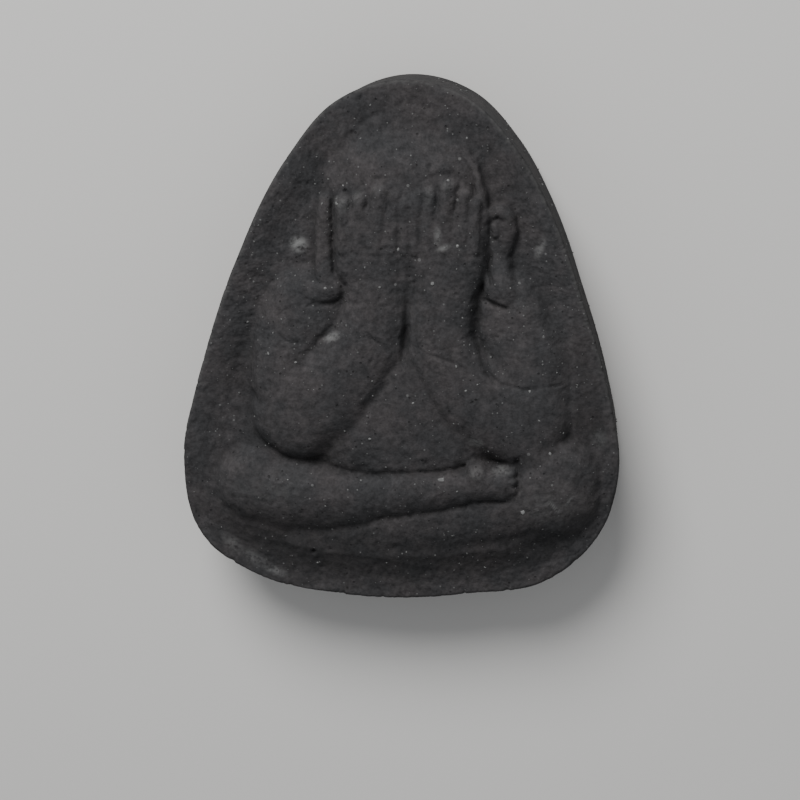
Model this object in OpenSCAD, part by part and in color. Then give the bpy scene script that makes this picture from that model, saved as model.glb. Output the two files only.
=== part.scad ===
// Pressed powder amulet tablet: a flat-backed tablet, wider at its base than at its crown,
// with a seated figure in low relief on its front. The figure sits cross-legged and holds
// both hands over its face. The tablet lies on its flat back, its front upwards and its
// crown towards +Y, and all lengths are in millimetres.

/* [Tablet] */
// Height of the tablet, from the base of its outline to its crown
tablet_h = 33.2; // [24:0.2:44]
// Thickness of the tablet at its rim
rim_t = 6.5; // [4.5:0.1:10]

/* [Relief] */
// How far the figure stands out, as a share of the heights in the tables below
relief_gain = 1; // [0.6:0.05:1.3]
// Depth of the ground beside the figure, below the rim
ground_drop = 0.45; // [0.2:0.05:0.8]
// Depth of the ground around the head, below the rim
crown_drop = 0.15; // [0:0.05:0.3]
// Depth of the ground under the crossed legs, below the rim
lap_drop = 0.8; // [0.4:0.05:1]
// How much lower the rim lies at the base than elsewhere
base_drop = 0.8; // [0:0.05:1]
// Height of each finger above the back of its hand
finger_rise = 0.2; // [0.1:0.02:0.35]

/* [Hidden] */

// The tables are drawn in millimetres about a point near the figure's middle, and scaled to
// tablet_h. Left and right are the viewer's.

// Outline of the tablet seen from its front, every 15 degrees from the right and turning
// anticlockwise: radius
EDGE_ROWS = [
    12.1, 11.5, 11.7, 12.5, 13.9, 15.5, 16.0, 15.2,
    13.4, 12.1, 11.4, 11.4, 12.0, 13.5, 16.1, 18.6,
    18.5, 17.6, 17.2, 17.3, 18.2, 17.7, 15.8, 13.5
];
edge_step = 360 / len(EDGE_ROWS);
EDGE_POINTS = 96;

// Limbs, a row for each section: x, y, half width, top above the rim
LEFT_FOREARM = [
    [-1.5, 5.0, 1.95, 1.3],
    [-1.6, 2.0, 2.05, 1.35],
    [-2.1, 0.4, 2.2, 1.4],
    [-2.8, -1.0, 2.4, 1.45],
    [-4.4, -2.8, 2.6, 1.45],
    [-6.4, -4.7, 2.9, 1.4]
];
RIGHT_FOREARM = [
    [2.7, 5.1, 2.1, 1.3],
    [2.6, 2.1, 1.9, 1.35],
    [2.6, 0.6, 1.95, 1.35],
    [3.0, -0.8, 2.1, 1.4],
    [3.9, -2.3, 2.4, 1.4],
    [5.8, -3.8, 2.7, 1.4],
    [7.5, -4.4, 2.95, 1.35]
];
LEFT_UPPER_ARM = [
    [-6.0, 2.6, 2.0, 0.6],
    [-6.4, 1.3, 2.4, 0.75],
    [-7.0, -0.6, 2.25, 0.95],
    [-7.2, -2.6, 2.15, 1.15]
];
RIGHT_UPPER_ARM = [
    [6.7, 2.7, 1.7, 0.7],
    [7.0, 1.5, 2.05, 0.9],
    [7.4, 0.0, 2.3, 1.05],
    [7.9, -1.5, 2.45, 1.15],
    [8.0, -2.9, 2.45, 1.2]
];
FRONT_LEG = [
    [-9.0, -9.6, 2.6, 1.1],
    [-7.5, -10.1, 2.5, 1.2],
    [-5.7, -10.2, 2.1, 1.25],
    [-3.8, -10.3, 1.7, 1.25],
    [-1.9, -10.2, 1.4, 1.2],
    [1.9, -9.5, 1.25, 1.2],
    [5.4, -8.8, 1.1, 1.25],
    [6.5, -8.7, 1.05, 1.3]
];
REAR_LEG = [
    [9.2, -9.4, 3.0, 1.0],
    [7.6, -10.7, 2.6, 0.95],
    [5.7, -11.6, 2.25, 0.9],
    [3.2, -12.3, 2.0, 0.85],
    [0.0, -12.9, 1.6, 0.75],
    [-3.2, -13.1, 1.2, 0.55],
    [-5.8, -13.3, 0.75, 0.2]
];
LEFT_EAR = [
    [-4.8, 8.3, 0.5, 0.1],
    [-4.8, 6.3, 0.6, 0.4],
    [-4.7, 4.6, 0.7, 0.6],
    [-4.3, 3.5, 0.9, 0.8]
];
RIGHT_EAR = [
    [5.5, 8.1, 0.4, 0.2],
    [6.3, 8.0, 0.45, 0.4],
    [6.4, 7.0, 0.45, 0.5],
    [5.9, 5.5, 0.5, 0.5],
    [6.2, 3.4, 0.8, 0.8]
];
// Hands, laid flat over the face: x and y of the wrist, x and y of the finger ends,
// half width, top above the rim
LEFT_HAND = [-1.6, 4.8, -1.7, 8.0, 2.35, 1.25];
RIGHT_HAND = [2.8, 4.8, 2.8, 8.0, 2.2, 1.25];
// Fingers, a row each: x of the root, x of the tip, y of the tip, half width, top
FINGERS = [
    [-3.3, -3.4, 9.4, 0.5, 0.95],
    [-2.4, -2.4, 9.6, 0.45, 1.2],
    [-1.4, -1.1, 10.3, 0.55, 1.3],
    [-0.4, -0.2, 10.0, 0.45, 1.2],
    [0.4, 0.4, 9.3, 0.3, 0.9],
    [1.0, 1.1, 9.8, 0.35, 0.9],
    [1.8, 1.9, 10.1, 0.45, 1.2],
    [2.7, 3.0, 10.8, 0.6, 1.3],
    [3.9, 3.9, 9.7, 0.45, 1.15],
    [4.6, 4.6, 9.2, 0.4, 0.9]
];
finger_root_y = 5.5;
// Share of a finger's length over which it rises out of the back of the hand
finger_start = 0.4;

// Rounded forms, a row each: x, y, half width, half height, top above the rim
HEAD = [0.3, 8.7, 4.7, 4.2, 1.0];
CHEST = [0.4, 0.8, 7.6, 4.0, 0.5];
BELLY = [0.3, -4.4, 5.6, 4.6, 0.6];

// Creases, a row for each point: x, y, half width, depth
ARM_GAP = [[0.8, 5.1, 0.3, 0.2], [0.5, 2.7, 0.4, 0.5], [0.4, -0.2, 0.4, 0.6]];
LEFT_EAR_GAP = [[-4.4, 8.3, 0.3, 0.3], [-4.2, 6.6, 0.35, 0.5], [-3.8, 4.3, 0.35, 0.5]];
RIGHT_EAR_GAP = [[5.1, 7.8, 0.3, 0.4], [5.1, 5.2, 0.35, 0.5], [4.5, 2.8, 0.4, 0.7]];
LEFT_ARM_CREASE = [[-3.4, 2.7, 0.4, 0.5], [-4.6, 0.5, 0.4, 0.45], [-6.2, -1.3, 0.5, 0.15]];
RIGHT_ARM_CREASE = [[4.5, 2.9, 0.4, 0.7], [4.6, 0.7, 0.4, 0.6], [6.4, -2.3, 0.4, 0.3]];
LEG_CREASE = [[-7.6, -12.8, 0.5, 0.2], [-2.5, -11.8, 0.5, 0.25], [4.2, -10.1, 0.5, 0.25]];
LAP_CREASE = [[-5.0, -8.1, 0.5, 0.2], [-2.1, -8.5, 0.5, 0.25], [3.2, -8.0, 0.5, 0.25]];

// Heights on the drawing between which the ground's depth changes
brow_y = 10;
shoulder_y = 3;
lap_y = -6;
base_y = -13;
// Share of the outline's radius at which the ground ends and at which the rim is reached
ground_end = 0.8;
rim_start = 0.92;
// Roundness of a limb's section: 0.5 is half an ellipse and 1 a parabola
limb_power = 0.9;
// Height over which two forms run into each other
soft_join = 0.5;
tight_join = 0.3;

// Grid of the pressed face: fine across the hands and ears, coarser at the sides
fine_step = 0.29;
coarse_step = 0.6;
row_step = 0.41;
hands_left = -5.6;
hands_right = 7.2;
// Room between the mould and the outline, and its height above the rim
mould_margin = 0.4;
mould_h = 5;

function unit_range(v) = min(max(v, 0), 1);
function mix(a, b, t) = a + (b - a) * t;
function ramp(low, high, v) = let (t = unit_range((v - low) / (high - low))) t * t * (3 - 2 * t);

// The larger of two heights, with a smooth join of height k where they are close
function join(a, b, k) = max(a, b) + pow(max(k - abs(a - b), 0), 2) / (4 * k);

// Cubic from b to c as t goes from 0 to 1, with the slopes that a and d give it
function cubic(a, b, c, d, t) =
    b + t * (c - a + t * (2 * a - 5 * b + 4 * c - d + t * (3 * (b - c) + d - a))) / 2;

// Radius of the outline at an angle
function edge_row(i) = EDGE_ROWS[(i + len(EDGE_ROWS)) % len(EDGE_ROWS)];
function edge_radius(angle) =
    let (
        place = (angle + 360) % 360 / edge_step,
        i = floor(place)
    )
    cubic(edge_row(i - 1), edge_row(i), edge_row(i + 1), edge_row(i + 2), place - i);

function drawn_outline() = [
    for (i = [0:EDGE_POINTS - 1])
        let (angle = i * 360 / EDGE_POINTS)
        edge_radius(angle) * [cos(angle), sin(angle)]
];

function lowest(points, axis) = min([for (p = points) p[axis]]);
function highest(points, axis) = max([for (p = points) p[axis]]);

// Share of the drawn size at which the tablet has its real height
function drawn_scale(edge) = tablet_h / (highest(edge, 1) - lowest(edge, 1));

// Where the point p lies along the span from row a to row b: share of the run,
// and distance from its middle line as a share of its half width
function span_place(p, a, b) =
    let (
        run = [b.x - a.x, b.y - a.y],
        from_a = [p.x - a.x, p.y - a.y],
        t = unit_range((from_a * run) / (run * run))
    )
    [t, norm(from_a - t * run) / mix(a[2], b[2], t)];

function round_top(low, top, share) =
    share >= 1 ? low - (share - 1) : low + (top - low) * pow(1 - share * share, limb_power);

function limb_z(p, rows) = max([
    for (i = [0:len(rows) - 2])
        let (place = span_place(p, rows[i], rows[i + 1]))
        round_top(-ground_drop, mix(rows[i][3], rows[i + 1][3], place[0]), place[1])
]);

function dome_z(p, form) =
    let (
        across = abs(p.x - form[0]) / form[2],
        along = abs(p.y - form[1]) / form[3]
    )
    round_top(-ground_drop, form[4], pow(pow(across, 2.6) + pow(along, 2.6), 1 / 2.6));

function hand_z(p, hand) = limb_z(p, [
    [hand[0], hand[1], hand[4] * 0.9, hand[5]],
    [hand[2], hand[3], hand[4], hand[5]]
]);

function finger_z(p, finger) =
    let (place = span_place(
        p,
        [finger[0], finger_root_y, finger[3]],
        [finger[1], finger[2] - finger[3], finger[3]]
    ))
    place[1] >= 1 ? -ground_drop
        : finger[4] + finger_rise * (2 * ramp(0, finger_start, place[0]) - 1 - 2 * place[1] * place[1]);

function crease_depth(p, rows) = max([
    for (i = [0:len(rows) - 2])
        let (place = span_place(p, rows[i], rows[i + 1]))
        mix(rows[i][3], rows[i + 1][3], place[0]) * pow(max(1 - place[1] * place[1], 0), 1.5)
]);

// Ground of the tablet: sunk beside the figure, level with the rim at the edge, and running
// out flat over the lower rim at the base
function ground_z(p) =
    let (
        share = norm(p) / edge_radius(atan2(p.y, p.x)),
        beside = mix(ground_drop, crown_drop, ramp(shoulder_y, brow_y, p.y)),
        low = ramp(lap_y, base_y, p.y)
    )
    -mix(mix(beside, lap_drop, low), base_drop * low, ramp(ground_end, rim_start, share));

// The body behind the arms: ground, head, chest, belly and upper arms
function torso_z(p) = join(
    join(join(ground_z(p), dome_z(p, HEAD), soft_join), dome_z(p, CHEST), soft_join),
    join(
        dome_z(p, BELLY),
        join(limb_z(p, LEFT_UPPER_ARM), limb_z(p, RIGHT_UPPER_ARM), soft_join),
        soft_join
    ),
    soft_join
);

function legs_z(p) = join(limb_z(p, REAR_LEG), limb_z(p, FRONT_LEG), tight_join);

function arms_z(p) = join(limb_z(p, LEFT_FOREARM), limb_z(p, RIGHT_FOREARM), tight_join);

function hands_z(p) = join(
    join(hand_z(p, LEFT_HAND), hand_z(p, RIGHT_HAND), tight_join),
    max([for (finger = FINGERS) finger_z(p, finger)]),
    tight_join
);

function ears_z(p) = join(limb_z(p, LEFT_EAR), limb_z(p, RIGHT_EAR), tight_join);

function creases_z(p) = max([
    for (rows = [
        ARM_GAP, LEFT_EAR_GAP, RIGHT_EAR_GAP, LEFT_ARM_CREASE,
        RIGHT_ARM_CREASE, LEG_CREASE, LAP_CREASE
    ])
        crease_depth(p, rows)
]);

// Height of the pressed face above the rim, over a point of the drawing
function relief_z(p) =
    let (
        body = join(join(torso_z(p), legs_z(p), tight_join), ears_z(p), tight_join),
        figure = join(join(body, arms_z(p), tight_join), hands_z(p), tight_join)
    )
    relief_gain * (figure - creases_z(p));

function steps(from, to, step) =
    let (count = ceil((to - from) / step))
    [for (i = [0:count - 1]) mix(from, to, i / count)];

// The block of powder before it is pressed: the outline, higher than the highest relief
module powder_cake(edge) {
    linear_extrude(height = rim_t + mould_h / 2)
        polygon(edge);
}

// The mould that presses the face: a closed block whose lower side is the relief
module press_mould(edge) {
    grow = drawn_scale(edge);
    left = lowest(edge, 0) - mould_margin;
    right = highest(edge, 0) + mould_margin;
    low = lowest(edge, 1) - mould_margin;
    high = highest(edge, 1) + mould_margin;
    xs = concat(
        steps(left, hands_left, coarse_step),
        steps(hands_left, hands_right, fine_step),
        steps(hands_right, right, coarse_step),
        [right]
    );
    ys = concat(steps(low, high, row_step), [high]);
    nx = len(xs);
    ny = len(ys);
    face = [
        for (y = ys) for (x = xs)
            [x * grow, y * grow, rim_t + relief_z([x, y])]
    ];
    lid = [
        for (corner = [[left, low], [right, low], [right, high], [left, high]])
            [corner.x * grow, corner.y * grow, rim_t + mould_h]
    ];
    top = nx * ny;
    // each cell is folded along the diagonal that climbs less, which keeps slopes smooth
    cells = [
        for (j = [0:ny - 2]) for (i = [0:nx - 2])
            let (
                k = j * nx + i,
                rising = abs(face[k + nx + 1].z - face[k].z),
                falling = abs(face[k + nx].z - face[k + 1].z)
            )
            each rising < falling
                ? [[k, k + 1, k + nx + 1], [k, k + nx + 1, k + nx]]
                : [[k, k + 1, k + nx], [k + 1, k + nx + 1, k + nx]]
    ];
    front_wall = concat([top, top + 1], [for (i = [nx - 1:-1:0]) i]);
    right_wall = concat([top + 1, top + 2], [for (j = [ny - 1:-1:0]) j * nx + nx - 1]);
    back_wall = concat([top + 2, top + 3], [for (i = [0:nx - 1]) (ny - 1) * nx + i]);
    left_wall = concat([top + 3, top], [for (j = [0:ny - 1]) j * nx]);
    polyhedron(
        points = concat(face, lid),
        faces = concat(
            cells,
            [[top + 3, top + 2, top + 1, top], front_wall, right_wall, back_wall, left_wall]
        )
    );
}

// The whole tablet, moved so that its outline's box is centred on the origin
module amulet_tablet() {
    drawn = drawn_outline();
    edge = drawn * drawn_scale(drawn);
    middle_x = (lowest(edge, 0) + highest(edge, 0)) / 2;
    middle_y = (lowest(edge, 1) + highest(edge, 1)) / 2;
    color("dimgray")
        translate([-middle_x, -middle_y, 0])
            difference() {
                powder_cake(edge);
                press_mould(drawn);
            }
}

amulet_tablet();
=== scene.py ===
"""Looks of the pressed powder amulet tablet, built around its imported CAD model.

The relief is drawn in millimetres about a point near the figure's middle, with height 0 at the
rim, and the class Drawing carries it into the frame, which is in metres. Left and right are
the viewer's, and the figure's head is towards +Y.
"""

import logging
import math
from dataclasses import dataclass, field
from enum import Enum
from typing import Any, NamedTuple, Protocol, Union

import bpy
import numpy as np
from mathutils import Matrix, Vector
from numpy.typing import NDArray


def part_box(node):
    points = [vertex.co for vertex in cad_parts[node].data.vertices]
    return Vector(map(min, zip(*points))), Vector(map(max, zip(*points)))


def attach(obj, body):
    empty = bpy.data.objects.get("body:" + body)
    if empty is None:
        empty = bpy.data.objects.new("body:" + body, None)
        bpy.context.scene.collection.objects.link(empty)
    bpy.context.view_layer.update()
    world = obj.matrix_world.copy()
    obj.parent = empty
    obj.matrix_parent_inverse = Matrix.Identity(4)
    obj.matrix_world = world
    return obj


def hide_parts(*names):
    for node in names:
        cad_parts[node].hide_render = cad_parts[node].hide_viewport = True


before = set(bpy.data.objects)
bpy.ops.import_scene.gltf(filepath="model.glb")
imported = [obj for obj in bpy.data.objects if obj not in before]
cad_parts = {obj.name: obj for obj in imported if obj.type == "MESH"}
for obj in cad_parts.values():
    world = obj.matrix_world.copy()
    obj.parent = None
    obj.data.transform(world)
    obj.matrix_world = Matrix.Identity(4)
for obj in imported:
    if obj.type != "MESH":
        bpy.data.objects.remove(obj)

Array = NDArray[np.float64]
Rows = tuple[tuple[float, ...], ...]
Pair = tuple[float, float]
Triangles = list[list[int]]
Triple = tuple[float, float, float]
Colour = Triple

MM = 0.001
TABLET_NODE = "amulet_tablet"
BODY = "root"

# Steps over which spaced() adds up how dense its places are
FINE_STEPS = 4000

log = logging.getLogger("amulet")


class Join(Enum):
    """Height in millimetres over which two forms run into each other."""

    CRISP = 0.12
    TIGHT = 0.25
    SOFT = 0.5
    MELTED = 0.9


def ramp(low: float, high: float, value: Array) -> Array:
    """Smooth step: 0 up to low, 1 from high on, and 3t² - 2t³ between them."""
    t = np.clip((value - low) / (high - low), 0, 1)
    return t * t * (3 - 2 * t)


def join(a: Array, b: Array, how: Join) -> Array:
    """The larger of two heights, with a smooth join where they are close.

    The larger height gets (k - |a - b|)² / 4k more, wherever the heights lie within k.

    Args:
        a: Heights of one form.
        b: Heights of the other form.
        how: The join, whose value is k.

    Returns:
        Heights of the two forms together.
    """
    k = how.value
    return np.maximum(a, b) + np.clip(k - np.abs(a - b), 0, None) ** 2 / (4 * k)


class Form(Protocol):
    """Anything with a height over each point of the drawing."""

    def height(self, x: Array, y: Array) -> Array:
        """Heights above the rim at places x and y, all in millimetres."""


def joined(x: Array, y: Array, how: Join, *forms: Form) -> Array:
    """Heights of several forms, joined one after the other.

    Args:
        x: Across the drawing, in millimetres.
        y: Up the drawing, in millimetres.
        how: The join between each form and those before it.
        forms: The forms, from the back to the front.

    Returns:
        Heights of the forms together.
    """
    total = forms[0].height(x, y)
    for form in forms[1:]:
        total = join(total, form.height(x, y), how)
    return total


def cubic(a: Array, b: Array, c: Array, d: Array, t: Array) -> Array:
    """Catmull-Rom cubic, from b at t = 0 to c at t = 1, with slopes (c - a) / 2 and (d - b) / 2."""
    return b + t * (c - a + t * (2 * a - 5 * b + 4 * c - d + t * (3 * (b - c) + d - a))) / 2


def smooth_rows(rows: Rows, per_span: int) -> Array:
    """Rows along the Catmull-Rom curve through the given rows.

    Args:
        rows: Rows of numbers, all of one length.
        per_span: Steps from each row to the next.

    Returns:
        The given rows with per_span - 1 new rows between each two of them.
    """
    table = np.array(rows)
    last = len(table) - 1
    place = np.linspace(0, last, last * per_span + 1)
    i = np.minimum(place.astype(int), last - 1)
    a, b, c, d = (table[np.clip(i + k, 0, last)] for k in (-1, 0, 1, 2))
    return cubic(a, b, c, d, (place - i)[:, None])


class Near(NamedTuple):
    """Where points lie beside a track.

    share is the distance from the middle line in half widths, half the half width there, and
    value the track's own value there.
    """

    share: Array
    half: Array
    value: Array


@dataclass(frozen=True)
class Track:
    """A smooth line through rows of x, y, half width and value."""

    rows: Rows
    per_span: int = 6
    reach: float = 2.5

    def near(self, x: Array, y: Array) -> Near:
        """Measures points against the nearest stretch of the line.

        Each stretch is a straight run: t is the point's place along it, held to 0..1, and
        its share is the distance from that place over the half width there.

        Args:
            x: Across the drawing, in millimetres.
            y: Up the drawing, in millimetres.

        Returns:
            Share, half width and value, with a share of reach for points far away.
        """
        line = smooth_rows(self.rows, self.per_span)
        margin = self.reach * line[:, 2].max()
        window = np.flatnonzero(
            (np.abs(x - (line[:, 0].min() + line[:, 0].max()) / 2) < np.ptp(line[:, 0]) / 2 + margin)
            & (np.abs(y - (line[:, 1].min() + line[:, 1].max()) / 2) < np.ptp(line[:, 1]) / 2 + margin)
        )
        px, py = x[window], y[window]
        best = np.full(px.shape, self.reach)
        best_rest = np.full((2,) + px.shape, 1.0)
        for a, b in zip(line[:-1], line[1:]):
            run = b[:2] - a[:2]
            t = np.clip(((px - a[0]) * run[0] + (py - a[1]) * run[1]) / (run @ run), 0, 1)
            gap = np.hypot(px - a[0] - t * run[0], py - a[1] - t * run[1])
            rest = a[2:, None] + t * (b - a)[2:, None]
            closer = gap / rest[0] < best
            best = np.where(closer, gap / rest[0], best)
            best_rest = np.where(closer, rest, best_rest)
        share, half, value = np.full(x.shape, self.reach), np.ones(x.shape), np.zeros(x.shape)
        share[window] = best
        half[window], value[window] = best_rest
        return Near(share, half, value)


def section(share: Array, top: Array | float, half: Array | float, crown: float, side: float) -> Array:
    """Section of a rounded form: top - half × (crown × share² + side × share⁶).

    Args:
        share: Distance from the middle in half widths.
        top: Height at the middle.
        half: Half width of the form.
        crown: How round the top is.
        side: How steep the sides are.

    Returns:
        Heights of the section, which fall away past share 1.
    """
    square = np.minimum(share, 2) ** 2
    return top - half * (crown * square + side * square**3)


@dataclass(frozen=True)
class Limb:
    """A rounded limb. Rows hold x, y, half width and top above the rim."""

    rows: Rows
    crown: float = 0.3
    side: float = 0.35

    def height(self, x: Array, y: Array) -> Array:
        """The limb's section, swept along its track."""
        near = Track(self.rows).near(x, y)
        return section(near.share, near.value, near.half, self.crown, self.side)


@dataclass(frozen=True)
class Dome:
    """A rounded form over the super-ellipse |x / width|^n + |y / height|^n = 1."""

    x: float
    y: float
    half_width: float
    half_height: float
    top: float
    square: float = 2.6
    crown: float = 0.15
    side: float = 0.2

    def height(self, x: Array, y: Array) -> Array:
        """The dome's section, where its share is the super-ellipse's own radius.

        Args:
            x: Across the drawing, in millimetres.
            y: Up the drawing, in millimetres.

        Returns:
            Heights above the rim.
        """
        across = np.abs(x - self.x) / self.half_width
        up = np.abs(y - self.y) / self.half_height
        share = (across**self.square + up**self.square) ** (1 / self.square)
        half = min(self.half_width, self.half_height)
        return section(share, self.top, half, self.crown, self.side)


@dataclass(frozen=True)
class Crease:
    """A pressed line. Rows hold x, y, half width and depth."""

    rows: Rows
    sharp: float = 1.5

    def depth(self, x: Array, y: Array) -> Array:
        """Depth (1 - share²)^sharp across the line."""
        near = Track(self.rows, per_span=5, reach=1.0).near(x, y)
        return near.value * np.clip(1 - near.share**2, 0, None) ** self.sharp


def creases(*tables: Rows) -> tuple[Crease, ...]:
    """One crease for each table of rows."""
    return tuple(Crease(rows) for rows in tables)


@dataclass(frozen=True)
class Outline:
    """Edge of the tablet, seen from its front.

    radii holds the distance from the drawing's middle every 15 degrees, from the right and
    turning anticlockwise, and corners the number of points that the CAD outline has.
    """

    radii: tuple[float, ...] = (
        12.1, 11.5, 11.7, 12.5, 13.9, 15.5, 16.0, 15.2,
        13.4, 12.1, 11.4, 11.4, 12.0, 13.5, 16.1, 18.6,
        18.5, 17.6, 17.2, 17.3, 18.2, 17.7, 15.8, 13.5,
    )
    corners: int = 96

    def radius(self, angle: Array) -> Array:
        """Distance from the middle to the edge, cubic between the table's radii.

        Args:
            angle: Angles in radians, anticlockwise from the right.

        Returns:
            Distances in millimetres.
        """
        table = np.array(self.radii)
        place = np.mod(angle, math.tau) * len(table) / math.tau
        i = place.astype(int)
        a, b, c, d = (table[(i + k) % len(table)] for k in (-1, 0, 1, 2))
        return cubic(a, b, c, d, place - i)

    def box(self) -> tuple[Array, Array]:
        """Box around the drawn edge.

        Returns:
            Its lowest and its highest corner, in millimetres.
        """
        angle = np.arange(self.corners) * math.tau / self.corners
        edge = self.radius(angle)[:, None] * np.stack([np.cos(angle), np.sin(angle)], axis=1)
        return edge.min(axis=0), edge.max(axis=0)

    def share(self, x: Array, y: Array) -> Array:
        """Distance from the middle as a share of the distance to the edge."""
        return np.hypot(x, y) / self.radius(np.arctan2(y, x))


@dataclass
class Drawing:
    """Carries the drawing into the frame, so that it fills the CAD tablet's box.

    rim_share is the rim's height as a share of the height of the highest relief.
    """

    outline: Outline
    low: Array
    high: Array
    rim_share: float = 0.8125
    grow: float = field(init=False)
    shift: Array = field(init=False)
    rim: float = field(init=False)

    def __post_init__(self) -> None:
        """Works out the scale, the shift and the rim's height, in millimetres."""
        drawn_low, drawn_high = self.outline.box()
        low, high = self.low / MM, self.high / MM
        self.grow = (high[1] - low[1]) / (drawn_high[1] - drawn_low[1])
        self.shift = (low[:2] + high[:2] - self.grow * (drawn_low + drawn_high)) / 2
        self.rim = high[2] * self.rim_share

    def place(self, x: Array | float, y: Array | float, above_rim: Array | float) -> Array:
        """Points of the frame, in metres, for places on the drawing.

        Args:
            x: Across the drawing, in millimetres.
            y: Up the drawing, in millimetres.
            above_rim: Height above the rim, in millimetres.

        Returns:
            Points as rows of three, held to the back's plane or above it.
        """
        flat = np.stack([np.ravel(x), np.ravel(y)], axis=1) * self.grow + self.shift
        z = np.maximum(np.ravel(above_rim) + self.rim, 0)
        return np.column_stack([flat, z]) * MM


class Unevenness:
    """Smooth random hills and hollows, from random slopes on a square lattice.

    Each finer layer is narrower by NARROWER, and moved by MOVED so that no two layers agree.
    """

    GAIN = 1.5
    NARROWER = 0.48
    MOVED = (7.3, -4.1)

    def __init__(self, seed: int, lattice: int = 128) -> None:
        """Draws the lattice's slopes.

        Args:
            seed: Seed of the random draws.
            lattice: Cells along each side, after which the pattern repeats.
        """
        turn = np.random.default_rng(seed).uniform(0, math.tau, (lattice, lattice))
        self.slopes = np.stack([np.cos(turn), np.sin(turn)])
        self.lattice = lattice

    def at(self, x: Array, y: Array, size: float) -> Array:
        """Hills about as wide as size, between about -1 and 1.

        Each corner of a lattice cell gives its slope times the way from that corner, and
        the four are blended by the fade 6t⁵ - 15t⁴ + 10t³.

        Args:
            x: Across, in millimetres.
            y: Up, in millimetres.
            size: Width of a cell, in millimetres.

        Returns:
            Heights, about evenly above and below 0.
        """
        u, v = np.asarray(x) / size, np.asarray(y) / size
        i, j = np.floor(u).astype(int), np.floor(v).astype(int)
        fu, fv = u - i, v - j
        wu, wv = (t * t * t * (t * (t * 6 - 15) + 10) for t in (fu, fv))
        total = np.zeros(u.shape)
        for di, side in ((0, 1 - wu), (1, wu)):
            for dj, end in ((0, 1 - wv), (1, wv)):
                slope = self.slopes[:, (i + di) % self.lattice, (j + dj) % self.lattice]
                total += side * end * (slope[0] * (fu - di) + slope[1] * (fv - dj))
        return self.GAIN * total

    def layered(self, x: Array, y: Array, size: float, layers: int, keep: float = 0.55) -> Array:
        """Sum of hills, each layer finer and lower than the one before.

        Args:
            x: Across, in millimetres.
            y: Up, in millimetres.
            size: Width of the widest hills.
            layers: Number of layers.
            keep: Height of a layer as a share of the one before.

        Returns:
            Heights, mostly between -1 and 1.
        """
        total = np.zeros(np.shape(x))
        for k in range(layers):
            right, up = (k * step for step in self.MOVED)
            total = total + keep**k * self.at(x + right, y + up, size * self.NARROWER**k)
        return total


@dataclass(frozen=True)
class Pits:
    """Small round pits, at most one in each cell of a square lattice.

    share_of_cells is the share of the cells that have a pit, and deepest the largest depth.
    The pairs are ranges of a pit's place in its cell, of its share of the deepest, and of its
    share of half_width.
    """

    seed: int
    cell: float
    share_of_cells: float
    half_width: float
    deepest: float
    lattice: int = 128
    places: Pair = (0.2, 0.8)
    strengths: Pair = (0.3, 1)
    widths: Pair = (0.6, 1.3)

    def depth(self, x: Array, y: Array) -> Array:
        """Depth of the pits, each deepest × (1 - (distance / half width)²)², at random strength.

        Args:
            x: Across the drawing, in millimetres.
            y: Up the drawing, in millimetres.

        Returns:
            Depths in millimetres, 0 outside the pits.
        """
        rng = np.random.default_rng(self.seed)
        spot = rng.uniform(*self.places, (2, self.lattice, self.lattice))
        lot = rng.uniform(0, 1, (self.lattice, self.lattice))
        strength = np.where(lot < self.share_of_cells, rng.uniform(*self.strengths, lot.shape), 0)
        width = self.half_width * rng.uniform(*self.widths, lot.shape)
        i, j = np.floor(x / self.cell).astype(int), np.floor(y / self.cell).astype(int)
        total = np.zeros(x.shape)
        for di in (-1, 0, 1):
            for dj in (-1, 0, 1):
                a, b = (i + di) % self.lattice, (j + dj) % self.lattice
                gap = np.hypot(
                    x - (i + di + spot[0, a, b]) * self.cell,
                    y - (j + dj + spot[1, a, b]) * self.cell,
                )
                bowl = np.clip(1 - (gap / width[a, b]) ** 2, 0, None) ** 2
                total = np.maximum(total, strength[a, b] * bowl)
        return self.deepest * total


@dataclass(frozen=True)
class Ground:
    """The sunk ground around the figure, and the edge around it, which lies lower at the base.

    Drops are depths below the rim: beside the figure, around the head, right under the legs,
    and of the edge at the base. Shares are of the outline's radius.
    """

    outline: Outline
    beside_drop: float = 0.45
    crown_drop: float = 0.42
    lap_drop: float = 0.05
    base_drop: float = 0.85
    shoulder_y: float = 3.0
    brow_y: float = 10.0
    lap_y: float = -6.0
    base_y: float = -13.0
    ground_end: float = 0.79
    rim_start: float = 0.97
    slope_start: float = 0.82

    def height(self, x: Array, y: Array) -> Array:
        """Height above the rim.

        Beside the figure and around its head it is minus the drop, faded out towards the edge.
        At the base it falls from the lap's drop to the base's along 1 - (1 - t)², with t
        running from slope_start to the edge. The two are blended between lap_y and base_y.

        Args:
            x: Across the drawing, in millimetres.
            y: Up the drawing, in millimetres.

        Returns:
            Heights in millimetres, none above 0.
        """
        share = self.outline.share(x, y)
        beside = self.beside_drop + (self.crown_drop - self.beside_drop) * ramp(
            self.shoulder_y, self.brow_y, y
        )
        upper = -beside * (1 - ramp(self.ground_end, self.rim_start, share))
        t = np.clip((share - self.slope_start) / (1 - self.slope_start), 0, 1)
        lower = -self.lap_drop - (self.base_drop - self.lap_drop) * (1 - (1 - t) ** 2)
        return upper + (lower - upper) * ramp(-self.lap_y, -self.base_y, -y)


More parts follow.
